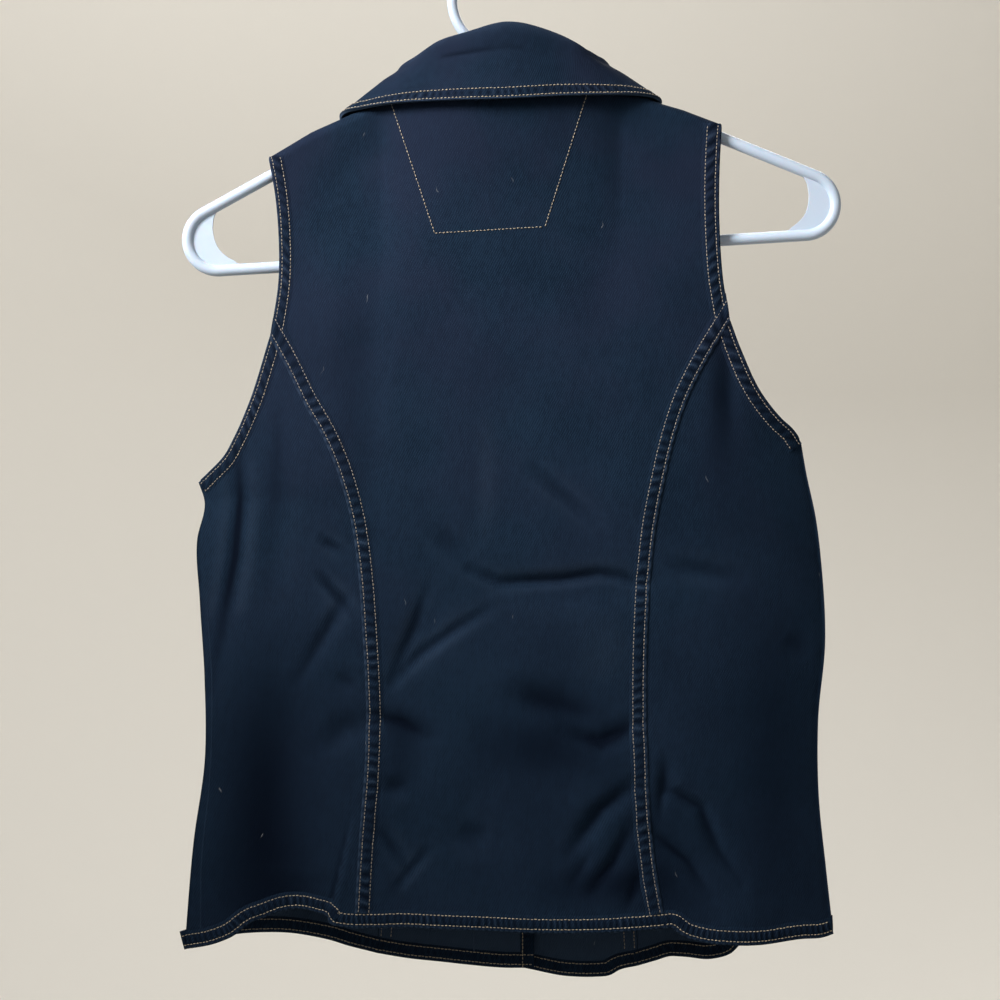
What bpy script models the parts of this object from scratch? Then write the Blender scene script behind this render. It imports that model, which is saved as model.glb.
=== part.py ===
"""A fitted sleeveless denim vest hanging on a white plastic tube hanger.

The frame's origin is where the hook bears on a rail: the inner top of the hook. +Z is up, -Y is out of the
vest's back and +X is to the right of someone who looks at the back. Sizes in the tables are millimetres.
"""

import math

import bmesh
import bpy
import numpy as np
from mathutils import Vector

MM = 0.001

# Cloth: one layer of denim, and what a turned hem or a felled seam adds to it
WALL = 1.2
BAND_RAISE = 0.8
BAND_WIDTH = 8.5
BAND_STEP = 1.2
SEAM_GAP = 0.5

# How the flattened tube of cloth stands off the hanger's plane
SIDE_POWER = 4.0
SEAM_DEPTH = 0.3
SHOULDER_RADIUS = 6.5
SHOULDER_EASE = 150.0
SHOULDER_ROWS = (20.0, 9.0, 3.8, 1.2, 0.0)
ARMHOLE_SHARE = 0.775
BACK_NECK_DEPTH = 19.0
FRONT_NECK_DEPTH = 20.0
NECK_HALF_WIDTH = 80.0
LAP_LIFT = 3.6
LAP_RAMP = 22.0

# Depth of the hollow behind and in front of the hanger: height, back, front
SECTIONS = (
    (-90, 12, 12),
    (-200, 19, 17),
    (-340, 24, 23),
    (-420, 23, 23),
    (-490, 21, 21),
    (-560, 21, 21),
    (-640, 23, 22),
)

# Side seams from the underarm to the hem: x, z
SIDE_LEFT = ((-193.2, -339), (-189.6, -350), (-194.3, -376), (-192.6, -414), (-189.5, -465), (-189.4, -517),
             (-196.4, -568), (-202.4, -638))
SIDE_RIGHT = ((193.2, -314), (196.5, -333), (202.3, -360), (206.5, -395), (208.6, -440), (204.1, -491),
              (204.5, -540), (209, -585), (213.8, -628))

# Armholes from the underarm to the curved seam, and on from there to the shoulder tip: x, z
BACK_ARMHOLE_LEFT_LOW = ((-193.2, -339), (-186.5, -333), (-175.5, -322), (-168.5, -310), (-159, -288.6),
                         (-145.6, -246.5))
BACK_ARMHOLE_LEFT_HIGH = ((-145.6, -246.5), (-140.6, -210), (-140.8, -184), (-143, -158), (-147.5, -131.5))
BACK_ARMHOLE_RIGHT_LOW = ((193.2, -314), (187.5, -305.5), (179, -298), (166.5, -283), (152.3, -254),
                          (145.6, -236.4))
BACK_ARMHOLE_RIGHT_HIGH = ((145.6, -236.4), (141.3, -208), (139.8, -182), (139.5, -158), (140.3, -130),
                           (141.5, -110.3))
FRONT_ARMHOLE_LEFT_LOW = ((-193.2, -339), (-184, -331), (-172, -319), (-156, -284), (-142, -237))
FRONT_ARMHOLE_LEFT_HIGH = ((-142, -237), (-137.5, -206), (-138, -178), (-147.5, -131.5))
FRONT_ARMHOLE_RIGHT_LOW = ((193.2, -314), (184, -302), (163.5, -279), (150, -251), (141.5, -226))
FRONT_ARMHOLE_RIGHT_HIGH = ((141.5, -226), (137.8, -198), (136.8, -158), (141.5, -110.3))

# Curved seams from the hem to the armhole: x, z
BACK_SEAM_LEFT = ((-91.5, -619.3), (-88.6, -565.5), (-84.8, -514.8), (-84, -485), (-85.9, -438.7),
                  (-89.8, -388), (-93.7, -362.6), (-100.5, -337.3), (-110.6, -311.9), (-124.7, -286.6),
                  (-135.8, -264), (-145.6, -246.5))
BACK_SEAM_RIGHT = ((104.5, -619.6), (99.4, -591), (95.9, -565.5), (93.1, -514.8), (92.1, -464),
                   (93.7, -413.4), (98.6, -362.6), (103.6, -337.3), (109.6, -311.9), (118, -286.6),
                   (130.6, -261.2), (145.6, -236.4))
FRONT_SEAM_LEFT = ((-80, -645.7), (-76, -520), (-82, -430), (-92, -350), (-113, -290), (-142, -237))
FRONT_SEAM_RIGHT = ((90.3, -654), (85, -520), (88, -430), (97, -345), (115, -279), (141.5, -226))

# Lapped front edges from the hem to the neck: x, z
UNDERLAP_EDGE = ((22, -655.6), (22, -400), (22, -171))
OVERLAP_EDGE = ((-12, -654.2), (-12, -400), (-12, -173))

# Hems from left to right: x, z
BACK_HEM_LEFT = ((-202.4, -638), (-181.4, -632.4), (-170.7, -627.6), (-158, -618.2), (-149.2, -614.9),
                 (-137, -610.8), (-125.3, -609.8), (-115.5, -611.2), (-108.6, -613), (-106.2, -617.2),
                 (-100, -618.6), (-91.5, -619.3))
BACK_HEM_CENTRE = ((-91.5, -619.3), (-76.7, -619.2), (-63.4, -618.8), (-38, -619.8), (-12.7, -620.8),
                   (25, -622.4), (63.4, -622.2), (88.8, -620.8), (104.5, -619.6))
BACK_HEM_RIGHT = ((104.5, -619.6), (108.4, -619.2), (111.6, -621.8), (116, -624.6), (126.8, -628),
                  (145.8, -630.2), (163.7, -631), (192, -629.4), (206, -629.6), (213.8, -628))
FRONT_HEM_SIDE_LEFT = ((-202.4, -638), (-186, -633), (-172.9, -631), (-152.5, -630.4), (-129.2, -631.7),
                       (-111.4, -635.9), (-99.3, -640.4), (-80, -645.7))
FRONT_HEM_LEFT = ((-80, -645.7), (-59.2, -649.3), (-36, -651.8), (-19.6, -653.5), (0, -655.4), (22, -655.6))
FRONT_HEM_RIGHT = ((-12, -654.2), (13, -656), (29.6, -659.1), (45, -661), (62, -661.4), (72, -660.2),
                   (78, -656.8), (90.3, -654))
FRONT_HEM_SIDE_RIGHT = ((90.3, -654), (103.8, -650.3), (110.3, -648.4), (119.6, -648.4), (137.8, -649),
                        (149.5, -645.3), (158, -637.2), (169, -631.5), (193, -628.6), (213.8, -628))

# Shoulder lines from the tip to the neck, and necklines from the left to the right: x, z
SHOULDER_LEFT = ((-147.5, -131.5), (-120, -115), (-78, -96.2))
SHOULDER_RIGHT = ((78, -87), (104, -97.3), (117, -101), (141.5, -110.3))
BACK_NECK = ((-78, -96.2), (-55, -88), (3, -82.5), (55, -81), (78, -87))
FRONT_NECK_LEFT = ((-78, -96.2), (-70.5, -119), (-45, -153), (-10, -170), (22, -171))
FRONT_NECK_RIGHT = ((-12, -173), (14, -169), (46, -149), (70.5, -111), (78, -87))

# Largest folds: start x, z, end x, z, half width, depth inwards (below zero is a ridge)
BACK_FOLDS = (
    (-167, -335, -186, -470, 11, 5),
    (-145, -475, -150, -600, 24, 12),
    (-128, -585, -130, -660, 22, 9),
    (-94, -560, -99, -660, 11, -4),
    (-6, -401, 86, -404, 16, 3),
    (10, -474, 78, -498, 18, 5),
    (82, -533, 50, -571, 12, 4),
    (106, -530, 146, -592, 13, 4),
    (150, -600, 153, -660, 26, -5),
    (-46, -412, -67, -458, 12, 3),
)
FRONT_FOLDS = (
    (-150, -470, -40, -500, 18, 4),
    (150, -460, 60, -510, 18, 4),
    (-120, -560, -125, -660, 22, 6),
    (120, -570, 118, -670, 22, -4),
    (-95, -330, -60, -395, 16, 3),
    (100, -320, 62, -390, 16, 3),
)

# Collar, a row for each section from the left front end round the back to the right front end:
# neck seam x, y, z, then roll x, y, z, then outer edge x, y, z
COLLAR_WALL = 1.8
COLLAR_FOLD = 2.6
COLLAR_SECTIONS = (
    (-2, 25.5, -168.0, -2, 28.5, -164.5, -50, 29.0, -190.0),
    (-43, 21.0, -148.5, -41, 24.0, -140.0, -80, 25.5, -171.0),
    (-68.5, 12.5, -115.0, -62.5, 13.0, -102.0, -99, 17.5, -126.5),
    (-74.5, 6.5, -101.2, -62, 7.0, -84.0, -103.4, 11.5, -109.9),
    (-75.5, 0.0, -92.5, -61.5, 0.0, -73.5, -102.5, 0.0, -103.4),
    (-66, -9.0, -89.5, -51.5, -8.5, -68.6, -86, -9.9, -100.9),
    (-52, -15.5, -85.5, -40, -14.0, -61.3, -66, -18.0, -99.5),
    (-26, -19.3, -82.8, -19, -16.5, -54.6, -32, -23.5, -98.6),
    (3, -20.5, -81.0, 6, -17.5, -49.5, 4, -26.0, -98.0),
    (29, -19.2, -80.0, 29, -16.5, -54.2, 37, -23.5, -95.8),
    (53, -15.5, -79.0, 47, -14.0, -62.0, 68, -18.0, -94.0),
    (66, -9.0, -80.0, 57.5, -8.5, -67.0, 88, -10.3, -92.7),
    (75.5, 0.0, -81.5, 66.5, 0.0, -70.6, 102.2, 0.0, -93.9),
    (75, 7.8, -90.0, 65.8, 8.0, -78.5, 103.2, 12.0, -99.3),
    (68.5, 12.5, -107.0, 63.5, 13.0, -94.5, 100, 17.5, -117.5),
    (45, 21.0, -144.0, 43, 24.0, -134.0, 83, 25.5, -162.0),
    (10, 25.5, -164.5, 10, 28.5, -161.0, 58, 29.0, -186.0),
)

# Buttons on the overlap
BUTTON_COUNT = 6
BUTTON_X = 5.0
BUTTON_TOP_Z = -205.0
BUTTON_BOTTOM_Z = -610.0
BUTTON_OUTLINE = ((0.0, 5.4), (4.5, 5.2), (7.6, 4.4), (8.5, 3.4), (8.2, 2.6), (4.2, 2.2), (3.4, 0.0),
                  (0.0, 0.0))
BUTTON_STEPS = 16
BUTTON_SEAT = 4.0
BUTTON_GAP = 0.85

# Hanger, in its own upright frame round the hook's inner top, then leaned over by HANGER_LEAN
TUBE_RADIUS = 3.75
HOOK_TUBE_RADIUS = 3.3
HOOK_RADIUS = 32.5
HOOK_END_ANGLE = 8.0
HANGER_LEAN = 3.46
APEX_X = -3.0
APEX_Z = -60.2
ARM_SLOPE = 25.5
BAR_Z = -191.6
END_RADIUS = 19.7
APEX_RADIUS = 18.0
WEB_HALF_THICKNESS = 1.2
ARC_STEPS = 10
# Inner edge of the web in the right end, from the bar up to the arm, round the end's centre: x, z
WEB_EDGE = ((-14, -19), (-11.2, -15.6), (-4.9, -11.1), (-0.2, -6.2), (2.5, 0.6), (3.1, 8.8), (1, 16.7),
            (-4.7, 21.8), (-9, 25))

COLOURS = {
    "denim": ((0.012, 0.019, 0.032, 1.0), 0.85, 0.0),
    "white plastic": ((0.78, 0.80, 0.84, 1.0), 0.35, 0.0),
    "button metal": ((0.42, 0.36, 0.28, 1.0), 0.4, 1.0),
}


def clear_scene():
    for item in list(bpy.data.objects):
        bpy.data.objects.remove(item)


def principled(name):
    colour, roughness, metallic = COLOURS[name]
    material = bpy.data.materials.new(name)
    material.use_nodes = True
    shader = material.node_tree.nodes["Principled BSDF"]
    shader.inputs["Base Color"].default_value = colour
    shader.inputs["Roughness"].default_value = roughness
    shader.inputs["Metallic"].default_value = metallic
    return material


def part(name, mesh, material):
    item = bpy.data.objects.new(name, mesh)
    item.data.materials.append(material)
    vest.objects.link(item)
    return item


def smooth_step(value):
    value = min(max(value, 0.0), 1.0)
    return value * value * (3.0 - 2.0 * value)


def length_knots(points):
    """Where each point lies from 0 to 1 along the way through them."""
    steps = np.linalg.norm(np.diff(np.array(points, float), axis=0), axis=1)
    return np.concatenate([[0.0], np.cumsum(steps)]) / steps.sum()


def smooth_curve(points, knots=None):
    """A function of 0 to 1 that runs smoothly through the points, by the length between them unless told."""
    knots = length_knots(points) if knots is None else knots
    points = np.array(points, float)
    slopes = np.gradient(points, knots, axis=0)

    def at(t):
        i = int(np.clip(np.searchsorted(knots, t, side="right") - 1, 0, len(knots) - 2))
        span = knots[i + 1] - knots[i]
        u = (t - knots[i]) / span
        return (
            (1 + 2 * u) * (1 - u) ** 2 * points[i]
            + u * (1 - u) ** 2 * span * slopes[i]
            + u * u * (3 - 2 * u) * points[i + 1]
            + u * u * (u - 1) * span * slopes[i + 1]
        )

    return at


def chain(*curves):
    """One function of 0 to 1 over several curves in turn, with equal shares."""
    count = len(curves)

    def at(t):
        i = min(int(t * count), count - 1)
        return curves[i](t * count - i)

    return at


def by_height(table):
    """Columns of a table, as a function of its first column, which falls row by row."""
    rows = np.array(table, float)[::-1]
    return lambda z: [float(np.interp(z, rows[:, 0], rows[:, k])) for k in range(1, rows.shape[1])]


def across(*tables):
    """A height as a function of x, along tables of x, z that follow each other from left to right."""
    rows = np.array([row for table in tables for row in table], float)
    return lambda x: float(np.interp(x, rows[:, 0], rows[:, 1]))


def side_at(table):
    rows = np.array(table, float)[::-1]
    return lambda z: float(np.interp(z, rows[:, 1], rows[:, 0]))


def fold_depth(folds, x, z):
    """How far the folds press a point inwards."""
    total = 0.0
    for x0, z0, x1, z1, half_width, depth in folds:
        along, run = np.array((x1 - x0, z1 - z0)), np.array((x - x0, z - z0))
        nearest = np.clip(run @ along / (along @ along), 0.0, 1.0)
        off = np.linalg.norm(run - nearest * along)
        total += depth * math.exp(-((off / half_width) ** 2))
    return total


def make_depth(section_column, ridge, neck_depth, folds):
    """How far the cloth stands off the hanger's plane at x, z: a flattened tube that closes at its sides,
    rolls over the hanger's arms at the shoulders and rounds out to the neck."""

    def depth(x, z):
        left, right = side_left(z), side_right(z)
        share = abs(2.0 * x - left - right) / (right - left)
        body = sections(z)[section_column] * max(0.0, 1.0 - share**SIDE_POWER)
        drop = max(ridge(x) - z, 0.0)
        roll = SHOULDER_RADIUS * math.sqrt(1.0 - (1.0 - min(drop / SHOULDER_RADIUS, 1.0)) ** 2)
        neck = neck_depth * math.sqrt(max(0.0, 1.0 - (x / NECK_HALF_WIDTH) ** 2))
        top = neck + max(SHOULDER_RADIUS - neck, 0.0) * roll / SHOULDER_RADIUS
        ease = smooth_step(drop / SHOULDER_EASE)
        shoulder = min(drop / SHOULDER_EASE, 1.0)
        pressed = fold_depth(folds, x, z) * max(0.0, 1.0 - share**SIDE_POWER) * shoulder
        return SEAM_DEPTH + top + (body - top) * ease - pressed

    return depth


def bands(length, count, low, high):
    """Places from 0 to 1 along a length: even ones, and close ones at a raised band on either end."""
    edge = (0.0, BAND_WIDTH, BAND_WIDTH + BAND_STEP)
    places = [e / length for e in edge] if low else [0.0]
    ends = [1.0 - e / length for e in reversed(edge)] if high else [1.0]
    between = np.linspace(places[-1], ends[0], count + 2)[1:-1]
    return [*places, *between, *ends]


def shoulder_rows(length, count):
    """Places from a hem to a shoulder: one where the armhole starts, and close ones at the roll."""
    edge = [e / length for e in (0.0, BAND_WIDTH, BAND_WIDTH + BAND_STEP)]
    close = [1.0 - e / length for e in SHOULDER_ROWS]
    above = round(count * (1.0 - ARMHOLE_SHARE))
    lower = np.linspace(edge[-1], ARMHOLE_SHARE, count - above + 1)[1:]
    upper = np.linspace(ARMHOLE_SHARE, close[0], above + 1)[1:-1]
    return [*edge, *lower, *upper, *close]


def panel(name, left, right, bottom, top, depth, facing, counts, edges, material):
    """One cut panel: a sheet between four curves, lifted to its depth and thickened outwards, with its turned
    edges raised. counts are columns and rows; edges says which of left, right, bottom, top are raised; a top
    edge called shoulder has closer rows where the cloth rolls over the hanger."""
    column_count, row_count = counts
    raised_left, raised_right, raised_bottom, raised_top = edges
    corners = bottom(0.0), bottom(1.0), top(0.0), top(1.0)

    def point(s, t):
        flat = (
            (1 - t) * bottom(s) + t * top(s) + (1 - s) * left(t) + s * right(t)
            - (1 - s) * (1 - t) * corners[0] - s * (1 - t) * corners[1]
            - (1 - s) * t * corners[2] - s * t * corners[3]
        )
        return flat

    def columns_at(t):
        return bands(np.linalg.norm(right(t) - left(t)), column_count, raised_left, raised_right)

    def rows_at(s):
        length = np.linalg.norm(top(s) - bottom(s))
        if raised_top == "shoulder":
            return shoulder_rows(length, row_count)
        return bands(length, row_count, raised_bottom, raised_top)

    columns, rows = len(columns_at(0.5)), len(rows_at(0.5))
    middle_rows = rows_at(0.5)
    sheet = bmesh.new()
    bmesh.ops.create_grid(sheet, x_segments=columns - 1, y_segments=rows - 1, size=0.5)
    sheet.verts.ensure_lookup_table()
    raised = []
    for vertex in sheet.verts:
        i = round((vertex.co.x + 0.5) * (columns - 1))
        j = round((vertex.co.y + 0.5) * (rows - 1))
        s = columns_at(middle_rows[j])[i]
        t = rows_at(s)[j]
        x, z = point(s, t)
        vertex.co = Vector((x, facing * depth(x, z), z)) * MM
        if (
            (raised_left and i < 2) or (raised_right and i > columns - 3)
            or (raised_bottom and j < 2) or (raised_top is True and j > rows - 3)
        ):
            raised.append(vertex.index)
    if facing > 0:
        bmesh.ops.reverse_faces(sheet, faces=sheet.faces)
    mesh = bpy.data.meshes.new(name)
    sheet.to_mesh(mesh)
    sheet.free()
    mesh.shade_smooth()
    item = part(name, mesh, material)
    item.vertex_groups.new(name="raised").add(raised, 1.0, "REPLACE")
    wall = item.modifiers.new("wall", "SOLIDIFY")
    wall.thickness = (WALL + BAND_RAISE) * MM
    wall.offset = 1.0
    wall.vertex_group = "raised"
    wall.thickness_vertex_group = WALL / (WALL + BAND_RAISE)
    return item


def moved(curve, dx):
    """The curve moved sideways by its half of a seam's gap."""
    return lambda t: curve(t) + np.array((dx, 0.0))


def seam_then_armhole(seam, armhole):
    """An edge up a curved seam and on along the armhole, with a row of the sheet where they meet."""
    low, high, share = smooth_curve(seam), smooth_curve(armhole), ARMHOLE_SHARE
    return lambda t: low(t / share) if t < share else high((t - share) / (1.0 - share))


def make_back(denim):
    half = SEAM_GAP / 2
    depth = make_depth(0, across(SHOULDER_LEFT, BACK_NECK, SHOULDER_RIGHT), BACK_NECK_DEPTH, BACK_FOLDS)
    panel(
        "back_centre",
        moved(seam_then_armhole(BACK_SEAM_LEFT, BACK_ARMHOLE_LEFT_HIGH), half),
        moved(seam_then_armhole(BACK_SEAM_RIGHT, BACK_ARMHOLE_RIGHT_HIGH), -half),
        smooth_curve(BACK_HEM_CENTRE),
        chain(smooth_curve(SHOULDER_LEFT), smooth_curve(BACK_NECK), smooth_curve(SHOULDER_RIGHT)),
        depth, -1, (13, 22), (True, True, True, "shoulder"), denim,
    )
    panel(
        "back_side_left",
        smooth_curve(SIDE_LEFT[::-1]), moved(smooth_curve(BACK_SEAM_LEFT), -half),
        smooth_curve(BACK_HEM_LEFT), smooth_curve(BACK_ARMHOLE_LEFT_LOW),
        depth, -1, (8, 16), (False, False, True, True), denim,
    )
    panel(
        "back_side_right",
        moved(smooth_curve(BACK_SEAM_RIGHT), half), smooth_curve(SIDE_RIGHT[::-1]),
        smooth_curve(BACK_HEM_RIGHT), smooth_curve(BACK_ARMHOLE_RIGHT_LOW[::-1]),
        depth, -1, (8, 16), (False, False, True, True), denim,
    )


def make_fronts(denim):
    half = SEAM_GAP / 2
    left_ridge = across(SHOULDER_LEFT, FRONT_NECK_LEFT)
    right_ridge = across(FRONT_NECK_RIGHT, SHOULDER_RIGHT)
    left_depth = make_depth(1, left_ridge, FRONT_NECK_DEPTH, FRONT_FOLDS)
    right_depth = make_depth(1, right_ridge, FRONT_NECK_DEPTH, FRONT_FOLDS)

    def lapped_depth(x, z):
        lift = LAP_LIFT * smooth_step((UNDERLAP_EDGE[0][0] + LAP_RAMP - x) / LAP_RAMP)
        return right_depth(x, z) + lift

    panel(
        "front_centre_left",
        moved(seam_then_armhole(FRONT_SEAM_LEFT, FRONT_ARMHOLE_LEFT_HIGH), half),
        smooth_curve(UNDERLAP_EDGE),
        smooth_curve(FRONT_HEM_LEFT), chain(smooth_curve(SHOULDER_LEFT), smooth_curve(FRONT_NECK_LEFT)),
        left_depth, 1, (7, 20), (True, True, True, "shoulder"), denim,
    )
    panel(
        "front_centre_right",
        smooth_curve(OVERLAP_EDGE),
        moved(seam_then_armhole(FRONT_SEAM_RIGHT, FRONT_ARMHOLE_RIGHT_HIGH), -half),
        smooth_curve(FRONT_HEM_RIGHT), chain(smooth_curve(FRONT_NECK_RIGHT), smooth_curve(SHOULDER_RIGHT)),
        lapped_depth, 1, (7, 20), (True, True, True, "shoulder"), denim,
    )
    panel(
        "front_side_left",
        smooth_curve(SIDE_LEFT[::-1]), moved(smooth_curve(FRONT_SEAM_LEFT), -half),
        smooth_curve(FRONT_HEM_SIDE_LEFT), smooth_curve(FRONT_ARMHOLE_LEFT_LOW),
        left_depth, 1, (7, 14), (False, False, True, True), denim,
    )
    panel(
        "front_side_right",
        moved(smooth_curve(FRONT_SEAM_RIGHT), half), smooth_curve(SIDE_RIGHT[::-1]),
        smooth_curve(FRONT_HEM_SIDE_RIGHT), smooth_curve(FRONT_ARMHOLE_RIGHT_LOW[::-1]),
        right_depth, 1, (7, 14), (False, False, True, True), denim,
    )
    return lapped_depth


def make_collar(denim):
    """A strip that stands up from the neck seam, folds over at its roll and falls to its outer edge."""
    stations = 31
    rows = np.array(COLLAR_SECTIONS, float)
    knots = length_knots(rows[:, 3:6])
    seam, roll, edge = (smooth_curve(rows[:, k:k + 3], knots) for k in (0, 3, 6))
    across_count = 9
    sheet = bmesh.new()
    bmesh.ops.create_grid(sheet, x_segments=stations - 1, y_segments=across_count - 1, size=0.5)
    for vertex in sheet.verts:
        t = vertex.co.x + 0.5
        k = round((vertex.co.y + 0.5) * (across_count - 1))
        foot, top, rim = seam(t), roll(t), edge(t)
        out = rim - top
        out[2] = 0.0
        out *= COLLAR_FOLD / np.linalg.norm(out)
        down = np.array((0.0, 0.0, COLLAR_FOLD * 0.7))
        inner, outer = top - out - down, top + out - down
        path = (
            foot, foot + (inner - foot) * 0.5, inner, top - out * 0.6, top + out * 0.6, outer,
            outer + (rim - outer) * 0.33, outer + (rim - outer) * 0.67, rim,
        )
        vertex.co = Vector(path[k]) * MM
    bmesh.ops.recalc_face_normals(sheet, faces=sheet.faces)
    mesh = bpy.data.meshes.new("collar")
    sheet.to_mesh(mesh)
    sheet.free()
    mesh.shade_smooth()
    item = part("collar", mesh, denim)
    back = min(mesh.polygons, key=lambda face: face.center.y)
    wall = item.modifiers.new("wall", "SOLIDIFY")
    wall.thickness = COLLAR_WALL * MM
    wall.offset = 1.0 if back.normal.y < 0 else -1.0
    return item


def make_buttons(depth, metal):
    for number in range(BUTTON_COUNT):
        z = BUTTON_TOP_Z + (BUTTON_BOTTOM_Z - BUTTON_TOP_Z) * number / (BUTTON_COUNT - 1)
        name = f"button_{number + 1}"
        mesh = bpy.data.meshes.new(name)
        outline = [(r * MM, 0.0, h * MM) for r, h in BUTTON_OUTLINE]
        mesh.from_pydata(outline, [(k, k + 1) for k in range(len(outline) - 1)], [])
        item = part(name, mesh, metal)
        turned = item.modifiers.new("turned", "SCREW")
        turned.steps = turned.render_steps = BUTTON_STEPS
        turned.use_merge_vertices = True
        turned.merge_threshold = 0.00001
        item.rotation_euler = (-math.pi / 2, 0.0, 0.0)
        seat = max(depth(BUTTON_X, z + dz) for dz in (-BUTTON_SEAT, 0.0, BUTTON_SEAT))
        item.location = Vector((BUTTON_X, seat + WALL + BUTTON_GAP, z)) * MM


def tube(name, points, radius, cyclic):
    """A tube along points in the hanger's plane, as a closed mesh."""
    curve = bpy.data.curves.new(name, "CURVE")
    curve.dimensions = "3D"
    curve.bevel_depth = radius * MM
    curve.bevel_resolution = 3
    curve.use_fill_caps = True
    spline = curve.splines.new("POLY")
    spline.points.add(len(points) - 1)
    for target, (x, z) in zip(spline.points, points):
        target.co = (x * MM, 0.0, z * MM, 1.0)
    spline.use_cyclic_u = cyclic
    return as_mesh(name, curve)


def plate(name, points):
    """A flat web in the hanger's plane, as a closed mesh."""
    curve = bpy.data.curves.new(name, "CURVE")
    curve.dimensions = "2D"
    curve.fill_mode = "BOTH"
    curve.extrude = WEB_HALF_THICKNESS * MM
    spline = curve.splines.new("POLY")
    spline.points.add(len(points) - 1)
    for target, (x, z) in zip(spline.points, points):
        target.co = (x * MM, z * MM, 0.0, 1.0)
    spline.use_cyclic_u = True
    item = as_mesh(name, curve)
    item.rotation_euler = (math.pi / 2, 0.0, 0.0)
    return item


def as_mesh(name, curve):
    guide = bpy.data.objects.new(name, curve)
    vest.objects.link(guide)
    bpy.context.view_layer.update()
    mesh = bpy.data.meshes.new_from_object(guide.evaluated_get(bpy.context.evaluated_depsgraph_get()))
    bpy.data.objects.remove(guide)
    welded = bmesh.new()
    welded.from_mesh(mesh)
    bmesh.ops.remove_doubles(welded, verts=welded.verts, dist=0.00001)
    bmesh.ops.recalc_face_normals(welded, faces=welded.faces)
    welded.to_mesh(mesh)
    welded.free()
    item = bpy.data.objects.new(name, mesh)
    vest.objects.link(item)
    return item


def arc(centre, radius, start, end, steps):
    angles = np.radians(np.linspace(start, end, steps))
    return [(centre[0] + radius * math.cos(a), centre[1] + radius * math.sin(a)) for a in angles]


def make_hanger(plastic):
    """Arms, ends and lower bar are one bent tube; the hook rises from their apex; webs fill the ends."""
    slope = math.radians(ARM_SLOPE)
    corner_x = (APEX_Z - BAR_Z) / math.tan(slope)
    reach = END_RADIUS / math.sin(slope / 2)
    end_x = corner_x - reach * math.cos(slope / 2)
    end_z = BAR_Z + END_RADIUS
    right_end = arc((APEX_X + end_x, end_z), END_RADIUS, 90 - ARM_SLOPE, -90, ARC_STEPS)
    left_end = [(2 * APEX_X - x, z) for x, z in reversed(right_end)]
    apex_z = APEX_Z - APEX_RADIUS / math.cos(slope)
    apex = arc((APEX_X, apex_z), APEX_RADIUS, 90 + ARM_SLOPE, 90 - ARM_SLOPE, 5)
    loop = [*apex, *right_end, *left_end]
    hook_z = HOOK_TUBE_RADIUS - HOOK_RADIUS
    hook = arc((0.0, hook_z), HOOK_RADIUS, 262, HOOK_END_ANGLE, 24)
    hanger = tube("hanger", loop, TUBE_RADIUS, True)
    hanger.data.materials.append(plastic)
    joined = [tube("hook", hook, HOOK_TUBE_RADIUS, False)]
    for side in (1, -1):
        outer = arc((end_x, end_z), END_RADIUS, 85 - ARM_SLOPE, -85, ARC_STEPS)
        inner = [(end_x + x, end_z + z) for x, z in WEB_EDGE]
        outline = [(APEX_X + side * x, z) for x, z in [*outer, *inner]]
        joined.append(plate("web", outline if side > 0 else outline[::-1]))
    for other in joined:
        helpers.objects.link(other)
        vest.objects.unlink(other)
        other.hide_render = True
        other.display_type = "WIRE"
        union = hanger.modifiers.new("moulded", "BOOLEAN")
        union.operation = "UNION"
        union.object = other
    lean = bpy.data.objects.new("hanger_lean", None)
    vest.objects.link(lean)
    for item in (hanger, *joined):
        item.parent = lean
    lean.rotation_euler = (0.0, -math.radians(HANGER_LEAN), 0.0)


clear_scene()
vest = bpy.data.collections.new("denim vest on a hanger")
bpy.context.scene.collection.children.link(vest)
helpers = bpy.data.collections.new("moulded on to the hanger")
helpers.hide_render = True
bpy.context.scene.collection.children.link(helpers)

side_left = side_at(SIDE_LEFT)
side_right = side_at(SIDE_RIGHT)
sections = by_height(SECTIONS)

cloth = principled("denim")
make_back(cloth)
front_surface = make_fronts(cloth)
make_collar(cloth)
make_buttons(front_surface, principled("button metal"))
make_hanger(principled("white plastic"))
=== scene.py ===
"""A fitted sleeveless denim vest on a white plastic hanger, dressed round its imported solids.

Lengths in the tables are millimetres in the solids' own frame: x to the right of someone who looks at the
back, z up from the hook's inner top, and the back of the vest towards -y.
"""

import math

import bpy
import numpy as np
from mathutils import Matrix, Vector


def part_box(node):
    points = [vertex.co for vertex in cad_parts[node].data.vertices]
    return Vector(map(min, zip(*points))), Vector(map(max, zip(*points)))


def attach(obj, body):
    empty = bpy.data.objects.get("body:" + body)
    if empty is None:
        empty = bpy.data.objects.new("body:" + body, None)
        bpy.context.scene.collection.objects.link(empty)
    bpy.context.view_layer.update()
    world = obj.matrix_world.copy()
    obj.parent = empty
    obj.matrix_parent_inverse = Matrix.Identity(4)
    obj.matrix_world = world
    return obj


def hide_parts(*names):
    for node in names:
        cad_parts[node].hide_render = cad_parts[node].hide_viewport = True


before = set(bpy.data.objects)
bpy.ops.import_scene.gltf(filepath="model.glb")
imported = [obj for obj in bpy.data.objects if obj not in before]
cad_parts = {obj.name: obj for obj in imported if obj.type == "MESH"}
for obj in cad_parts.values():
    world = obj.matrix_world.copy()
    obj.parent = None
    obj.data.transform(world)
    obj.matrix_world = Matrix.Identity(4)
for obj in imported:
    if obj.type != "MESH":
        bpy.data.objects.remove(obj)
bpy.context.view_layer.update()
bpy.ops.object.select_all(action="DESELECT")
MM = 0.001


# Denim
# The cloth is a dark navy cotton twill, washed as a garment: matt, a little paler where seams and fold ridges
# rub, with a few white fibres of lint on it. Its diagonal twill lines are finer than a pixel. Its colour also
# has painted shade in fold hollows and broad stretches, and painted light on its wrong side.

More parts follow.
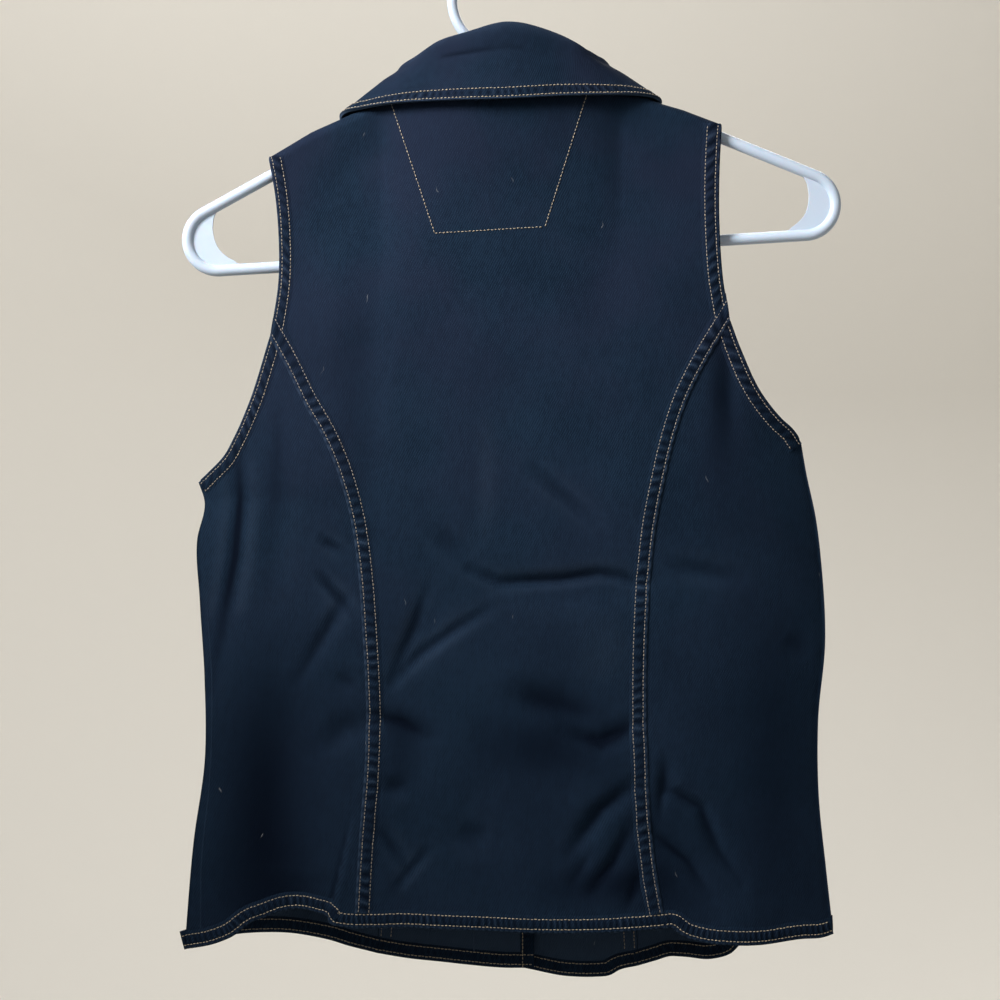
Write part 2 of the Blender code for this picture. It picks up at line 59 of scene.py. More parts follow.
DENIM_NAVY = "#132233"
DENIM_DEEP = "#091523"
DENIM_VIOLET = "#181E30"
# Pale that rubbed ridges, edges and streaks go to as wear, and that the wrong side goes to partly as painted
# light
DENIM_RUBBED_AND_PAINTED_LIGHT = "#4B5D76"
# Dark that seam bands and pucker hollows go to as kept dye, and fold hollows and broad stretches as painted
# shade
DENIM_DYE_AND_PAINTED_SHADE = "#030A17"
LINT_WHITE = "#C4C9CF"
SHEEN_GREY = "#8FA0B4"
TWILL_SPACING, TWILL_TURN = 1.4, 27
SLUB_WIDTH, SLUB_LENGTH = 1.2, 14.0
CLOUD_SIZE, MOTTLE_SIZE, TINT_SIZE = 55.0, 4.0, 80.0
# How much the mottle, the slubs and the yarns count beside what they are mixed into
MOTTLE_SHARE, SLUB_SHARE, YARN_SHARE = 0.5, 0.5, 0.45
# The noise between which the dye goes from deep to pale, and the cloth from plain to violet
DYE_RANGE, BLOTCH_RANGE = (0.38, 0.60), (0.38, 0.58)
LINT_CELL, LINT_RADIUS, LINT_STRETCH, LINT_BEND = 24.0, 0.3, 8.0, 14.0
LINT_CHOSEN, LINT_STRENGTH = 0.5, 0.22
# The dye has gone violet in patches, the more the nearer to the shoulders
VIOLET_FROM, VIOLET_FULL = -450.0, -120.0
VIOLET_LEAST, VIOLET_MOST = 0.12, 0.6
# A wave texture of scale 1 repeats every 2 pi / 20
WAVE_REPEAT = math.tau / 20


def linear(code):
    """An sRGB hex colour as linear red, green, blue and alpha."""
    shares = [int(code[k:k + 2], 16) / 255 for k in (1, 3, 5)]
    return (*(c / 12.92 if c <= 0.04045 else ((c + 0.055) / 1.055) ** 2.4 for c in shares), 1.0)


def add(tree, kind, inputs, **settings):
    """Adds a node with its settings, and with a value or a link for each input that is named."""
    made = tree.nodes.new("ShaderNode" + kind)
    for name, value in settings.items():
        setattr(made, name, value)
    for key, value in inputs.items():
        if isinstance(value, bpy.types.NodeSocket):
            tree.links.new(value, made.inputs[key])
        else:
            made.inputs[key].default_value = value
    return made


def start_material(name):
    material = bpy.data.materials.new(name)
    material.use_nodes = True
    return material, material.node_tree, material.node_tree.nodes["Principled BSDF"]


denim, tree, shader = start_material("dark navy cotton twill")
place = add(tree, "TexCoord", {}).outputs["Object"]
grain = add(tree, "UVMap", {}, uv_map="grain").outputs["UV"]
wear_and_painted_shading = add(tree, "Attribute", {}, attribute_name="wear_and_painted_shading").outputs["Fac"]
cloud = add(tree, "TexNoise", {"Vector": place, "Scale": 1000 / CLOUD_SIZE, "Detail": 3.0})
mottle = add(tree, "TexNoise", {"Vector": place, "Scale": 1000 / MOTTLE_SIZE, "Detail": 4.0})
uneven = add(tree, "MixRGB", {
    "Fac": MOTTLE_SHARE, "Color1": cloud.outputs["Fac"], "Color2": mottle.outputs["Fac"],
})
# The twill's spacing sets its scale. It is drawn at about twice the real spacing, to show at all
twill_lie = add(tree, "Mapping", {"Vector": grain, "Rotation": (0.0, 0.0, math.radians(TWILL_TURN))})
twill = add(tree, "TexWave", {
    "Vector": twill_lie.outputs["Vector"], "Scale": WAVE_REPEAT * 1000 / TWILL_SPACING,
    "Distortion": 1.5, "Detail": 2.0,
})
slub_lie = add(tree, "Mapping", {"Vector": grain, "Scale": (1000 / SLUB_WIDTH, 1000 / SLUB_LENGTH, 1.0)})
slub = add(tree, "TexNoise", {"Vector": slub_lie.outputs["Vector"], "Scale": 1.0, "Detail": 2.0})
yarns = add(tree, "MixRGB", {
    "Fac": SLUB_SHARE, "Color1": twill.outputs["Fac"], "Color2": slub.outputs["Fac"],
})
speckled = add(tree, "MixRGB", {
    "Fac": YARN_SHARE, "Color1": uneven.outputs["Color"], "Color2": yarns.outputs["Color"],
})
depth_of_dye = add(tree, "MapRange", {
    "Value": speckled.outputs["Color"], "From Min": DYE_RANGE[0], "From Max": DYE_RANGE[1],
})
dye = add(tree, "MixRGB", {
    "Fac": depth_of_dye.outputs["Result"], "Color1": linear(DENIM_DEEP), "Color2": linear(DENIM_NAVY),
})
tint = add(tree, "TexNoise", {"Vector": place, "Scale": 1000 / TINT_SIZE, "Detail": 3.0})
blotch = add(tree, "MapRange", {
    "Value": tint.outputs["Fac"], "From Min": BLOTCH_RANGE[0], "From Max": BLOTCH_RANGE[1],
})
height = add(tree, "SeparateXYZ", {"Vector": place})
upper = add(tree, "MapRange", {
    "Value": height.outputs["Z"], "From Min": VIOLET_FROM * MM, "From Max": VIOLET_FULL * MM,
    "To Min": VIOLET_LEAST, "To Max": VIOLET_MOST,
})
violet = add(tree, "Math", {0: blotch.outputs["Result"], 1: upper.outputs["Result"]}, operation="MULTIPLY")
tinted = add(tree, "MixRGB", {
    "Fac": violet.outputs["Value"], "Color1": dye.outputs["Color"], "Color2": linear(DENIM_VIOLET),
})
# Above zero the cloth pales: rubbed wear, and on the wrong side also painted light
rubbed = add(tree, "MixRGB", {"Fac": wear_and_painted_shading, "Color1": tinted.outputs["Color"], "Color2": linear(DENIM_RUBBED_AND_PAINTED_LIGHT)})
# Below zero the cloth darkens: dye kept in seams and hollows, and painted shade in fold hollows and broad
# stretches
hollow = add(tree, "MapRange", {"Value": wear_and_painted_shading, "From Min": 0.0, "From Max": -1.0})
dyed_and_painted_shade = add(tree, "MixRGB", {
    "Fac": hollow.outputs["Result"], "Color1": rubbed.outputs["Color"], "Color2": linear(DENIM_DYE_AND_PAINTED_SHADE),
})
# Lint: one short bent fibre in some of the cells of a Voronoi pattern
drift = add(tree, "TexNoise", {"Vector": grain, "Scale": 1000 / LINT_BEND})
bent = add(tree, "VectorMath", {
    0: drift.outputs["Color"], 1: (LINT_BEND * MM, LINT_BEND * MM, 0.0), 2: grain,
}, operation="MULTIPLY_ADD")
lint_lie = add(tree, "Mapping", {
    "Vector": bent.outputs["Vector"], "Scale": (1000 / LINT_CELL, 1000 / LINT_CELL / LINT_STRETCH, 1.0),
})
lint = add(tree, "TexVoronoi", {"Vector": lint_lie.outputs["Vector"], "Scale": 1.0}, voronoi_dimensions="2D")
fibre = add(tree, "MapRange", {
    "Value": lint.outputs["Distance"],
    "From Min": LINT_RADIUS / LINT_CELL, "From Max": 0.5 * LINT_RADIUS / LINT_CELL,
})
chosen = add(tree, "SeparateColor", {"Color": lint.outputs["Color"]})
some = add(tree, "MapRange", {
    "Value": chosen.outputs["Red"], "From Min": LINT_CHOSEN, "From Max": 1.0, "To Max": LINT_STRENGTH,
})
lint_share = add(tree, "Math", {0: fibre.outputs["Result"], 1: some.outputs["Result"]}, operation="MULTIPLY")
surface = add(tree, "MixRGB", {
    "Fac": lint_share.outputs["Value"], "Color1": dyed_and_painted_shade.outputs["Color"], "Color2": linear(LINT_WHITE),
})
relief = add(tree, "Bump", {"Height": yarns.outputs["Color"], "Strength": 0.35, "Distance": 0.0004})
rough = add(tree, "MapRange", {"Value": slub.outputs["Fac"], "To Min": 0.78, "To Max": 0.95})
tree.links.new(surface.outputs["Color"], shader.inputs["Base Color"])
tree.links.new(rough.outputs["Result"], shader.inputs["Roughness"])
tree.links.new(relief.outputs["Normal"], shader.inputs["Normal"])
shader.inputs["Specular IOR Level"].default_value = 0.04
shader.inputs["Sheen Weight"].default_value = 0.02
shader.inputs["Sheen Roughness"].default_value = 0.5
shader.inputs["Sheen Tint"].default_value = linear(SHEEN_GREY)


# Sewing thread
# Tan core-spun thread in lockstitches of 2.35 mm, faded to grey-tan on the seams. Each stitch is a short,
# slightly arched strand whose ends go down into the cloth.

THREAD_TAN = "#A5977F"
THREAD_FADED = "#6D6865"
STITCH_PITCH = 2.35
STITCH_GAP = 0.55
THREAD_RADIUS = 0.29
STRAND_TWIST, PLY_TURN, PLY_SHADE = 0.9, 35, 0.35
# How far a stitch strays from its row, and how unevenly the row has faded
STITCH_WANDER, FADING_SPREAD = 0.09, 0.25
STITCH_RINGS = ((0.0, -0.30, 0.6), (0.22, 0.12, 1.0), (0.78, 0.12, 1.0), (1.0, -0.30, 0.6))
STITCH_SIDES = 5

thread, tree, shader = start_material("tan core-spun thread")
grain = add(tree, "UVMap", {}, uv_map="grain").outputs["UV"]
faded = add(tree, "Attribute", {}, attribute_name="faded").outputs["Fac"]
# The strand's plies cross it every 0.9 mm along its length
plies_lie = add(tree, "Mapping", {"Vector": grain, "Rotation": (0.0, 0.0, math.radians(PLY_TURN))})
plies = add(tree, "TexWave", {
    "Vector": plies_lie.outputs["Vector"], "Scale": WAVE_REPEAT * 1000 / STRAND_TWIST,
})
lit = add(tree, "MixRGB", {"Fac": faded, "Color1": linear(THREAD_TAN), "Color2": linear(THREAD_FADED)})
shadowed = add(tree, "MixRGB", {
    "Fac": PLY_SHADE, "Color1": lit.outputs["Color"], "Color2": plies.outputs["Color"],
}, blend_type="MULTIPLY")
twist = add(tree, "Bump", {"Height": plies.outputs["Fac"], "Strength": 0.4, "Distance": 0.0001})
tree.links.new(shadowed.outputs["Color"], shader.inputs["Base Color"])
tree.links.new(twist.outputs["Normal"], shader.inputs["Normal"])
shader.inputs["Roughness"].default_value = 0.6
shader.inputs["Sheen Weight"].default_value = 0.2


def unit(vectors):
    return vectors / np.maximum(np.linalg.norm(vectors, axis=-1, keepdims=True), 1e-9)


def lengths_along(points):
    """The way along a line of points up to each of them."""
    steps = np.linalg.norm(np.diff(points, axis=0), axis=1)
    return np.concatenate([[0.0], np.cumsum(steps)])


def sew(line, normals, fading=0.0, lead=0.0):
    """The strands of a row of stitches along a line on the cloth, as rings of points for each stitch."""
    way = lengths_along(line)
    count = int((way[-1] - lead) / STITCH_PITCH)
    starts = lead + np.arange(count) * STITCH_PITCH + STITCH_GAP / 2
    wander = STITCH_WANDER * np.sin(np.arange(count) * 2.4 + line[0, 0])
    shares, lifts, sizes = np.array(STITCH_RINGS).T
    at = starts[:, None] + shares * (STITCH_PITCH - STITCH_GAP)

    def read(values):
        return np.stack([np.interp(at, way, values[:, k]) for k in range(3)], axis=-1)

    centres, up = read(line), unit(read(normals))
    along = unit(np.gradient(centres, axis=1))
    side = np.cross(along, up)
    centres = centres + up * lifts[:, None] + side * wander[:, None, None]
    angles = np.arange(STITCH_SIDES) * math.tau / STITCH_SIDES
    spread = THREAD_RADIUS * sizes[:, None, None]
    around = np.cos(angles)[:, None] * side[:, :, None] + np.sin(angles)[:, None] * up[:, :, None]
    rings = centres[:, :, None] + spread * around
    return rings, np.clip(fading + FADING_SPREAD * np.sin(np.arange(count) * 1.7), 0.0, 1.0)


def thread_piece(name, rows):
    """One object for all the stitches on a piece of cloth."""
    rings = np.concatenate([r for r, _ in rows])
    fading = np.concatenate([f for _, f in rows])
    count, ring_count, sides = rings.shape[:3]
    one = np.arange(ring_count * sides).reshape(ring_count, sides)
    walls = [
        (one[k, i], one[k, (i + 1) % sides], one[k + 1, (i + 1) % sides], one[k + 1, i])
        for k in range(ring_count - 1) for i in range(sides)
    ]
    ends = [tuple(one[0, ::-1]), tuple(one[-1])]
    faces = [tuple(int(v) + s * one.size for v in face) for s in range(count) for face in (*walls, *ends)]
    points = rings.reshape(-1, 3) * MM
    lie = np.stack([np.tile(np.linspace(0.0, STITCH_PITCH, ring_count)[:, None], (1, sides)),
                    np.tile(np.linspace(0.0, 1.7, sides), (ring_count, 1))], axis=-1).reshape(-1, 2) * MM
    made = mesh_piece(name, points, faces, np.tile(lie, (count, 1)), thread)
    spots = made.data.attributes.new("faded", "FLOAT", "POINT")
    spots.data.foreach_set("value", np.repeat(fading, one.size).astype(np.float32))
    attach(made, "root")
    return made


def mesh_piece(name, points, faces, lie, material):
    """A mesh object from points in metres, its faces, and where each point lies on the grain."""
    mesh = bpy.data.meshes.new(name)
    mesh.from_pydata(points.tolist(), [], faces)
    corners = np.zeros(len(mesh.loops), np.int32)
    mesh.loops.foreach_get("vertex_index", corners)
    layer = mesh.uv_layers.new(name="grain")
    layer.data.foreach_set("uv", lie[corners].astype(np.float32).ravel())
    mesh.materials.append(material)
    mesh.shade_smooth()
    made = bpy.data.objects.new(name, mesh)
    bpy.context.scene.collection.objects.link(made)
    return made


# Back panels
# Three panels cut from the denim: a wide centre and two sides, joined by curved felled seams. They hang as a
# flattened tube that closes at the side seams, and the centre rolls over the hanger's arms at the shoulders.

WALL = 1.2
SIDE_POWER = 4.0
SEAM_DEPTH = 0.3
# Front and back meet from this far inside the side seams, and are apart in full at this share of the hollow
SIDE_INSET, SEAM_EASE = 1.6, 0.05
SEAM_GAP = 0.5
SHOULDER_RADIUS = 6.5
SHOULDER_EASE = 150.0
ARMHOLE_SHARE = 0.775
NECK_HALF_WIDTH = 80.0
BACK_NECK_DEPTH = 19.0
CLOTH_GRID, CENTRE_GRID, SIDE_GRID = 2.6, 2.3, 1.7
ROLL_ROWS = (16.0, 13.0, 10.5, 8.5, 7.0, 5.6, 4.4, 3.4, 2.5, 1.7, 1.0, 0.5, 0.15, 0.0)
# Height, then the hollow's depth behind and in front of the hanger
SECTIONS = (
    (-90, 12, 12), (-200, 19, 17), (-340, 24, 23), (-420, 23, 23), (-490, 21, 21), (-560, 21, 21),
    (-640, 23, 22),
)
SIDE_LEFT = ((-193.2, -339), (-189.6, -350), (-194.3, -376), (-192.6, -414), (-189.5, -465), (-189.4, -517),
             (-196.4, -568), (-202.4, -638))
SIDE_RIGHT = ((193.2, -314), (196.5, -333), (202.3, -360), (206.5, -395), (208.6, -440), (204.1, -491),
              (204.5, -540), (209, -585), (213.8, -628))
BACK_ARMHOLE_LEFT_LOW = ((-193.2, -339), (-186.5, -333), (-175.5, -322), (-168.5, -310), (-159, -288.6),
                         (-145.6, -246.5))
BACK_ARMHOLE_LEFT_HIGH = ((-145.6, -246.5), (-140.6, -210), (-140.8, -184), (-143, -158), (-147.5, -131.5))
BACK_ARMHOLE_RIGHT_LOW = ((193.2, -314), (187.5, -305.5), (179, -298), (166.5, -283), (152.3, -254),
                          (145.6, -236.4))
BACK_ARMHOLE_RIGHT_HIGH = ((145.6, -236.4), (141.3, -208), (139.8, -182), (139.5, -158), (140.3, -130),
                           (141.5, -110.3))
BACK_SEAM_LEFT = ((-91.5, -619.3), (-88.6, -565.5), (-84.8, -514.8), (-84, -485), (-85.9, -438.7),
                  (-89.8, -388), (-93.7, -362.6), (-100.5, -337.3), (-110.6, -311.9), (-124.7, -286.6),
                  (-135.8, -264), (-145.6, -246.5))
BACK_SEAM_RIGHT = ((104.5, -619.6), (99.4, -591), (95.9, -565.5), (93.1, -514.8), (92.1, -464),
                   (93.7, -413.4), (98.6, -362.6), (103.6, -337.3), (109.6, -311.9), (118, -286.6),
                   (130.6, -261.2), (145.6, -236.4))
BACK_HEM_LEFT = ((-202.4, -638), (-181.4, -632.4), (-170.7, -627.6), (-158, -618.2), (-149.2, -614.9),
                 (-137, -610.8), (-125.3, -609.8), (-115.5, -611.2), (-108.6, -613), (-106.2, -617.2),
                 (-100, -618.6), (-91.5, -619.3))
BACK_HEM_CENTRE = ((-91.5, -619.3), (-76.7, -619.2), (-63.4, -618.8), (-38, -619.8), (-12.7, -620.8),
                   (25, -622.4), (63.4, -622.2), (88.8, -620.8), (104.5, -619.6))
BACK_HEM_RIGHT = ((104.5, -619.6), (108.4, -619.2), (111.6, -621.8), (116, -624.6), (126.8, -628),
                  (145.8, -630.2), (163.7, -631), (192, -629.4), (206, -629.6), (213.8, -628))
SHOULDER_LEFT = ((-147.5, -131.5), (-120, -115), (-78, -96.2))
SHOULDER_RIGHT = ((78, -87), (104, -97.3), (117, -101), (141.5, -110.3))
BACK_NECK = ((-78, -96.2), (-55, -88), (3, -82.5), (55, -81), (78, -87))
# Creases: half width, depth inwards (below zero is a ridge), then the points that it follows
BACK_CREASES = (
    (7, 6, (-167, -325), (-165, -350), (-169, -388), (-176, -426), (-185, -470)),
    (11, 3, (-142, -337), (-147, -413)),
    (5, 2.6, (-98, -413), (-128, -464)),
    (4, 2.2, (-113, -398), (-94, -420)),
    (3.5, 1.8, (-112, -375), (-99.5, -382)),
    (6, 2, (-104, -460), (-90, -468)),
    (9, 4, (-113, -508), (-98, -494), (-81, -491)),
    (24, 13, (-143, -455), (-146, -530), (-150, -612)),
    (4, 3, (-19, -393), (0, -401.5), (38, -399.5), (62, -396), (75, -397.5), (90, -403)),
    (7, 2, (-40, -370), (-20, -388)),
    (12, 3, (-6, -401), (38, -408), (89, -403)),
    (4, 1.6, (-46, -405), (-54, -430), (-69, -462)),
    (4, 2.2, (-69, -466), (-52, -448), (-30, -432), (-8, -418)),
    (10, 2.4, (-40, -415), (-60, -455)),
    (5, 2.6, (-80, -486), (-62, -490), (-46, -498)),
    (6, 2.4, (-74, -532), (-57, -530)),
    (4.5, 2.2, (-77, -556), (-60, -580)),
    (3.5, 1.6, (-66, -594), (-46, -570)),
    (9, 2.6, (-27, -560), (-6, -563)),
    (11, 4, (9.5, -474), (38, -478), (60, -488)),
    (7, 4, (40, -496), (64, -503), (84, -492)),
    (6, 4.4, (84, -530), (64, -546), (44, -573)),
    (5, 3.4, (82, -557), (72, -578), (58, -596)),
    (4, 1.8, (58, -570), (46, -590)),
    (4, 2, (88, -586), (80, -608)),
    (5, 4.2, (104, -518), (107, -533), (127, -545), (138, -572), (151, -592)),
    (3.5, 2, (103, -522), (101, -548)),
    (5, 3.4, (96, -560), (118, -578), (131, -598)),
    (6, 2.4, (111, -391), (151, -399)),
    (10, 4, (181, -436), (198, -448)),
    (7, 2.6, (143, -252), (145, -306)),
    (12, 3, (-81, -110), (-115, -155)),
    (16, 2, (98, -122), (130, -163)),
    (15, 3, (-88, -160), (-87, -300), (-80, -380)),
    (18, 2.4, (63, -160), (63, -250)),
    (5, 2, (20, -330), (58, -362)),
    (22, 9, (-128, -585), (-130, -660)),
    (26, -5, (150, -600), (153, -660)),
)
# A crease's depth at its ends beside its middle, the width of a lapping edge, where along it the lap is full,
# and the heights of the broad and fine waves of hung cloth
CREASE_END, LAP_EDGE, LAP_FULL, BROAD_WAVE, FINE_WAVE = 0.35, 2.4, 0.7, 0.30, 0.07
# A fold that laps: height, how far it fades to the right, top and bottom
BACK_LAPS = ((3.2, 16.0, (-88, -530), (-108, -620)),)
# How much a millimetre of hollow darkens, as kept dye and painted shade, or of ridge pales by wear, the most
# that either may show, and how far round it is felt
HOLLOW_DYE_AND_SHADE, RIDGE_WEAR = 0.7, 0.12
DEEPEST_DYE_AND_SHADE, MOST_RUBBED, RUB_REACH = -0.85, 0.1, 4.0
# Rubbed streaks, and below zero broad stretches and crease lines darkened as painted shade: half width,
# strength, points
BACK_WEAR_AND_SHADE_STREAKS = (
    (6, 0.05, (-8, -290), (-9, -385)),
    (14, 0.04, (70, -420), (60, -470)),
    (36, -0.90, (-148, -420), (-150, -580), (-152, -740)),
    (8, 0.12, (-193, -430), (-191, -490), (-195, -570)),
    (8, -0.5, (139, -235), (140, -290), (139, -350)),
    (8, -0.6, (-84, -486), (-62, -491), (-38, -500)),
    (10, -0.45, (-64, -480), (-63, -505), (-62, -540)),
    (24, -0.50, (172, -400), (172, -520), (172, -640)),
    (20, -0.70, (-30, -500), (30, -506), (90, -512)),
    (9, -0.65, (0, -464), (30, -478), (72, -485)),
    (7, -0.65, (52, -505), (72, -499), (92, -488)),
    (26, -0.50, (70, -520), (100, -580), (120, -650)),
    (12, -0.75, (16, -594), (66, -592), (116, -588)),
    (10, -0.20, (-82, -140), (-82, -250), (-88, -380)),
    (2.6, -0.7, (-166, -310), (-165, -345), (-168, -385), (-178, -430)),
    (4, -0.4, (-141, -285), (-141, -320), (-143, -375)),
)


def smooth_step(value):
    value = np.clip(value, 0.0, 1.0)
    return value * value * (3.0 - 2.0 * value)


def smooth_curve(points, knots=None):
    """A function of 0 to 1 that runs smoothly through the points, by the length between them unless told."""
    points = np.array(points, float)
    if knots is None:
        knots = lengths_along(points)
        knots = knots / knots[-1]
    slopes = np.gradient(points, knots, axis=0)

    def at(t):
        t = np.asarray(t, float)
        i = np.clip(np.searchsorted(knots, t, side="right") - 1, 0, len(knots) - 2)
        span = knots[i + 1] - knots[i]
        u = ((t - knots[i]) / span)[..., None]
        span = span[..., None]
        return (
            (1 + 2 * u) * (1 - u) ** 2 * points[i] + u * (1 - u) ** 2 * span * slopes[i]
            + u * u * (3 - 2 * u) * points[i + 1] + u * u * (u - 1) * span * slopes[i + 1]
        )

    return at


def chain(*curves):
    """One function of 0 to 1 over several curves in turn, with equal shares."""
    def at(t):
        t = np.asarray(t, float)
        turn = np.clip((t * len(curves)).astype(int), 0, len(curves) - 1)
        found = np.stack([curve(np.clip(t * len(curves) - k, 0.0, 1.0)) for k, curve in enumerate(curves)])
        return np.take_along_axis(found, turn[None, ..., None], axis=0)[0]

    return at


def seam_then_armhole(seam, armhole):
    """An edge that runs up a curved seam and on along the armhole."""
    low, high = smooth_curve(seam), smooth_curve(armhole)

    def at(t):
        t = np.asarray(t, float)
        above = np.clip((t - ARMHOLE_SHARE) / (1.0 - ARMHOLE_SHARE), 0.0, 1.0)
        below = low(np.clip(t / ARMHOLE_SHARE, 0.0, 1.0))
        return np.where((t < ARMHOLE_SHARE)[..., None], below, high(above))

    return at


def moved(curve, dx):
    return lambda t: curve(t) + np.array((dx, 0.0))


def table_read(rows, by, column):
    """A column of a table as a function of another column of it."""
    rows = np.array(sorted(rows, key=lambda row: row[by]), float)
    return lambda value: np.interp(value, rows[:, by], rows[:, column])


side_left, side_right = table_read(SIDE_LEFT, 1, 0), table_read(SIDE_RIGHT, 1, 0)


def near_line(x, z, points):
    """How far each place is from a line of points, and how far along the line it lies, from 0 to 1."""
    points = np.array(points, float)
    way = lengths_along(points)
    best, share = np.full(x.shape, np.inf), np.zeros(x.shape)
    for k, (start, end) in enumerate(zip(points[:-1], points[1:])):
        along = end - start
        t = np.clip(((x - start[0]) * along[0] + (z - start[1]) * along[1]) / (along @ along), 0.0, 1.0)
        off = np.hypot(x - start[0] - t * along[0], z - start[1] - t * along[1])
        share = np.where(off < best, (way[k] + t * (way[k + 1] - way[k])) / way[-1], share)
        best = np.minimum(off, best)
    return best, share


def crease_depth(x, z, creases, laps):
    """How far creases and lapping folds press the cloth inwards; they fade towards their ends."""
    total = np.zeros(x.shape)
    for half_width, depth, *points in creases:
        off, share = near_line(x, z, points)
        deep = depth * (CREASE_END + (1.0 - CREASE_END) * np.sin(math.pi * share))
        total += deep * np.exp(-((off / half_width) ** 2))
    for height, fade, top, bottom in laps:
        top, bottom = np.array(top, float), np.array(bottom, float)
        along = bottom - top
        reach = np.linalg.norm(along)
        across = ((z - top[1]) * along[0] - (x - top[0]) * along[1]) / reach
        share = ((x - top[0]) * along[0] + (z - top[1]) * along[1]) / reach**2
        raised = smooth_step((across + LAP_EDGE / 2) / LAP_EDGE) * np.exp(-np.maximum(across, 0.0) / fade)
        total -= height * raised * smooth_step(share / LAP_FULL)
    return total


def hang_waves(x, z, seed):
    """Slight unevenness of hung cloth, mostly upright."""
    broad = np.sin(x / 8.3 + 0.8 * np.sin(z / 71 + seed) + seed) * np.sin(z / 63 + 1.3 * seed)
    fine = np.sin(x / 3.1 + z / 9.7 + seed) * np.sin(z / 5.3 - x / 12 + 2 * seed)
    return BROAD_WAVE * broad + FINE_WAVE * fine


def make_depth(column, ridge, neck_depth, creases, laps, seed):
    """How far the cloth's inner face stands off the hanger's plane at x, z."""
    section = table_read(SECTIONS, 0, column)

    def depth(x, z):
        left, right = side_left(z), side_right(z)
        inside = right - left - 2.0 * SIDE_INSET
        free = np.maximum(0.0, 1.0 - (np.abs(2.0 * x - left - right) / inside) ** SIDE_POWER)
        drop = np.maximum(ridge(x) - z, 0.0)
        roll = SHOULDER_RADIUS * np.sqrt(1.0 - (1.0 - np.minimum(drop / SHOULDER_RADIUS, 1.0)) ** 2)
        neck = neck_depth * np.sqrt(np.maximum(0.0, 1.0 - (x / NECK_HALF_WIDTH) ** 2))
        top = neck + np.maximum(SHOULDER_RADIUS - neck, 0.0) * roll / SHOULDER_RADIUS
        pressed = (crease_depth(x, z, creases, laps) + hang_waves(x, z, seed)) * free
        pressed = pressed * np.minimum(drop / SHOULDER_EASE, 1.0)
        # The sides and the shoulders are sewn shut, so the cloth comes in to the middle there
        seam = SEAM_DEPTH * np.minimum(np.minimum(free / SEAM_EASE, drop), 1.0)
        return seam + top + (section(z) * free - top) * smooth_step(drop / SHOULDER_EASE) - pressed

    return depth


def on_cloth(depth, facing, flat, height):
    """Places on the cloth at flat x, z, raised along its normal from the inner face, and those normals."""
    x, z = flat[..., 0], flat[..., 1]
    step = 0.4
    middle = depth(x, z)
    slope_x = (depth(x + step, z) - depth(x - step, z)) / (2 * step)
    slope_z = (depth(x, z + step) - depth(x, z - step)) / (2 * step)
    normals = unit(np.stack([-slope_x, np.full(x.shape, float(facing)), -slope_z], axis=-1))
    points = np.stack([x, facing * middle, z], axis=-1)
    return points + normals * np.asarray(height)[..., None], normals


def rubbing_and_shade(x, z, creases, laps, wear_and_shade_streaks):
    """Wear and painted shade from -1 to 1: ridges of folds are paler by wear, their hollows darker as kept
    dye and painted shade, and streaks below zero are painted shade.
    """
    ways = ((RUB_REACH, 0), (-RUB_REACH, 0), (0, RUB_REACH), (0, -RUB_REACH))
    around = sum(crease_depth(x + dx, z + dz, creases, laps) for dx, dz in ways) / len(ways)
    proud = around - crease_depth(x, z, creases, laps)
    # Fold hollows are darkened, partly as kept dye and partly as painted shade; ridges pale by wear
    wear_and_shading = np.clip(HOLLOW_DYE_AND_SHADE * proud, DEEPEST_DYE_AND_SHADE, 0.0) + np.clip(RIDGE_WEAR * proud, 0.0, MOST_RUBBED)
    # Streaks above zero are wear, and below zero painted shade
    for half_width, strength, *points in wear_and_shade_streaks:
        off, share = near_line(x, z, points)
        wear_and_shading += strength * np.sin(math.pi * share) * np.exp(-((off / half_width) ** 2))
    return wear_and_shading


def coons(left, right, bottom, top, s, t):
    """Flat places between four edges."""
    s, t = s[..., None], t[..., None]
    zero, one = np.array(0.0), np.array(1.0)
    return (
        (1 - t) * bottom(s[..., 0]) + t * top(s[..., 0]) + (1 - s) * left(t[..., 0]) + s * right(t[..., 0])
        - (1 - s) * (1 - t) * bottom(zero) - s * (1 - t) * bottom(one)
        - (1 - s) * t * top(zero) - s * t * top(one)
    )


# The wrong side of denim is paler, by its undyed weft, and paler still as painted light on the shaded inside,
# and only a fold sharper than this shades as an edge
INSIDE_PALE_AND_PAINTED_LIGHT, SHARP_FOLD = 0.24, 50


def closed_shell(outer, inner, lie, wear_and_shading):
    """A closed thin shell between two grids of points: points, faces, grain places, and wear with painted
    shading;
    the inner face is paler, partly as painted light.
    """
    rows, columns = outer.shape[:2]
    one = np.arange(rows * columns).reshape(rows, columns)
    top = np.stack([one[:-1, :-1], one[:-1, 1:], one[1:, 1:], one[1:, :-1]], axis=-1).reshape(-1, 4)
    rim = np.concatenate([one[0, :-1], one[:-1, -1], one[-1, :0:-1], one[:0:-1, 0]])
    after = np.roll(rim, -1)
    walls = np.stack([after, rim, rim + one.size, after + one.size], axis=-1)
    faces = np.concatenate([top, top[:, ::-1] + one.size, walls])
    points = np.concatenate([outer.reshape(-1, 3), inner.reshape(-1, 3)])
    flat, wear_and_shading = lie.reshape(-1, 2), wear_and_shading.ravel()
    # The inner face is paler: the undyed weft, and painted light
    return points, faces.tolist(), np.concatenate([flat, flat]), np.concatenate([wear_and_shading, wear_and_shading + INSIDE_PALE_AND_PAINTED_LIGHT])


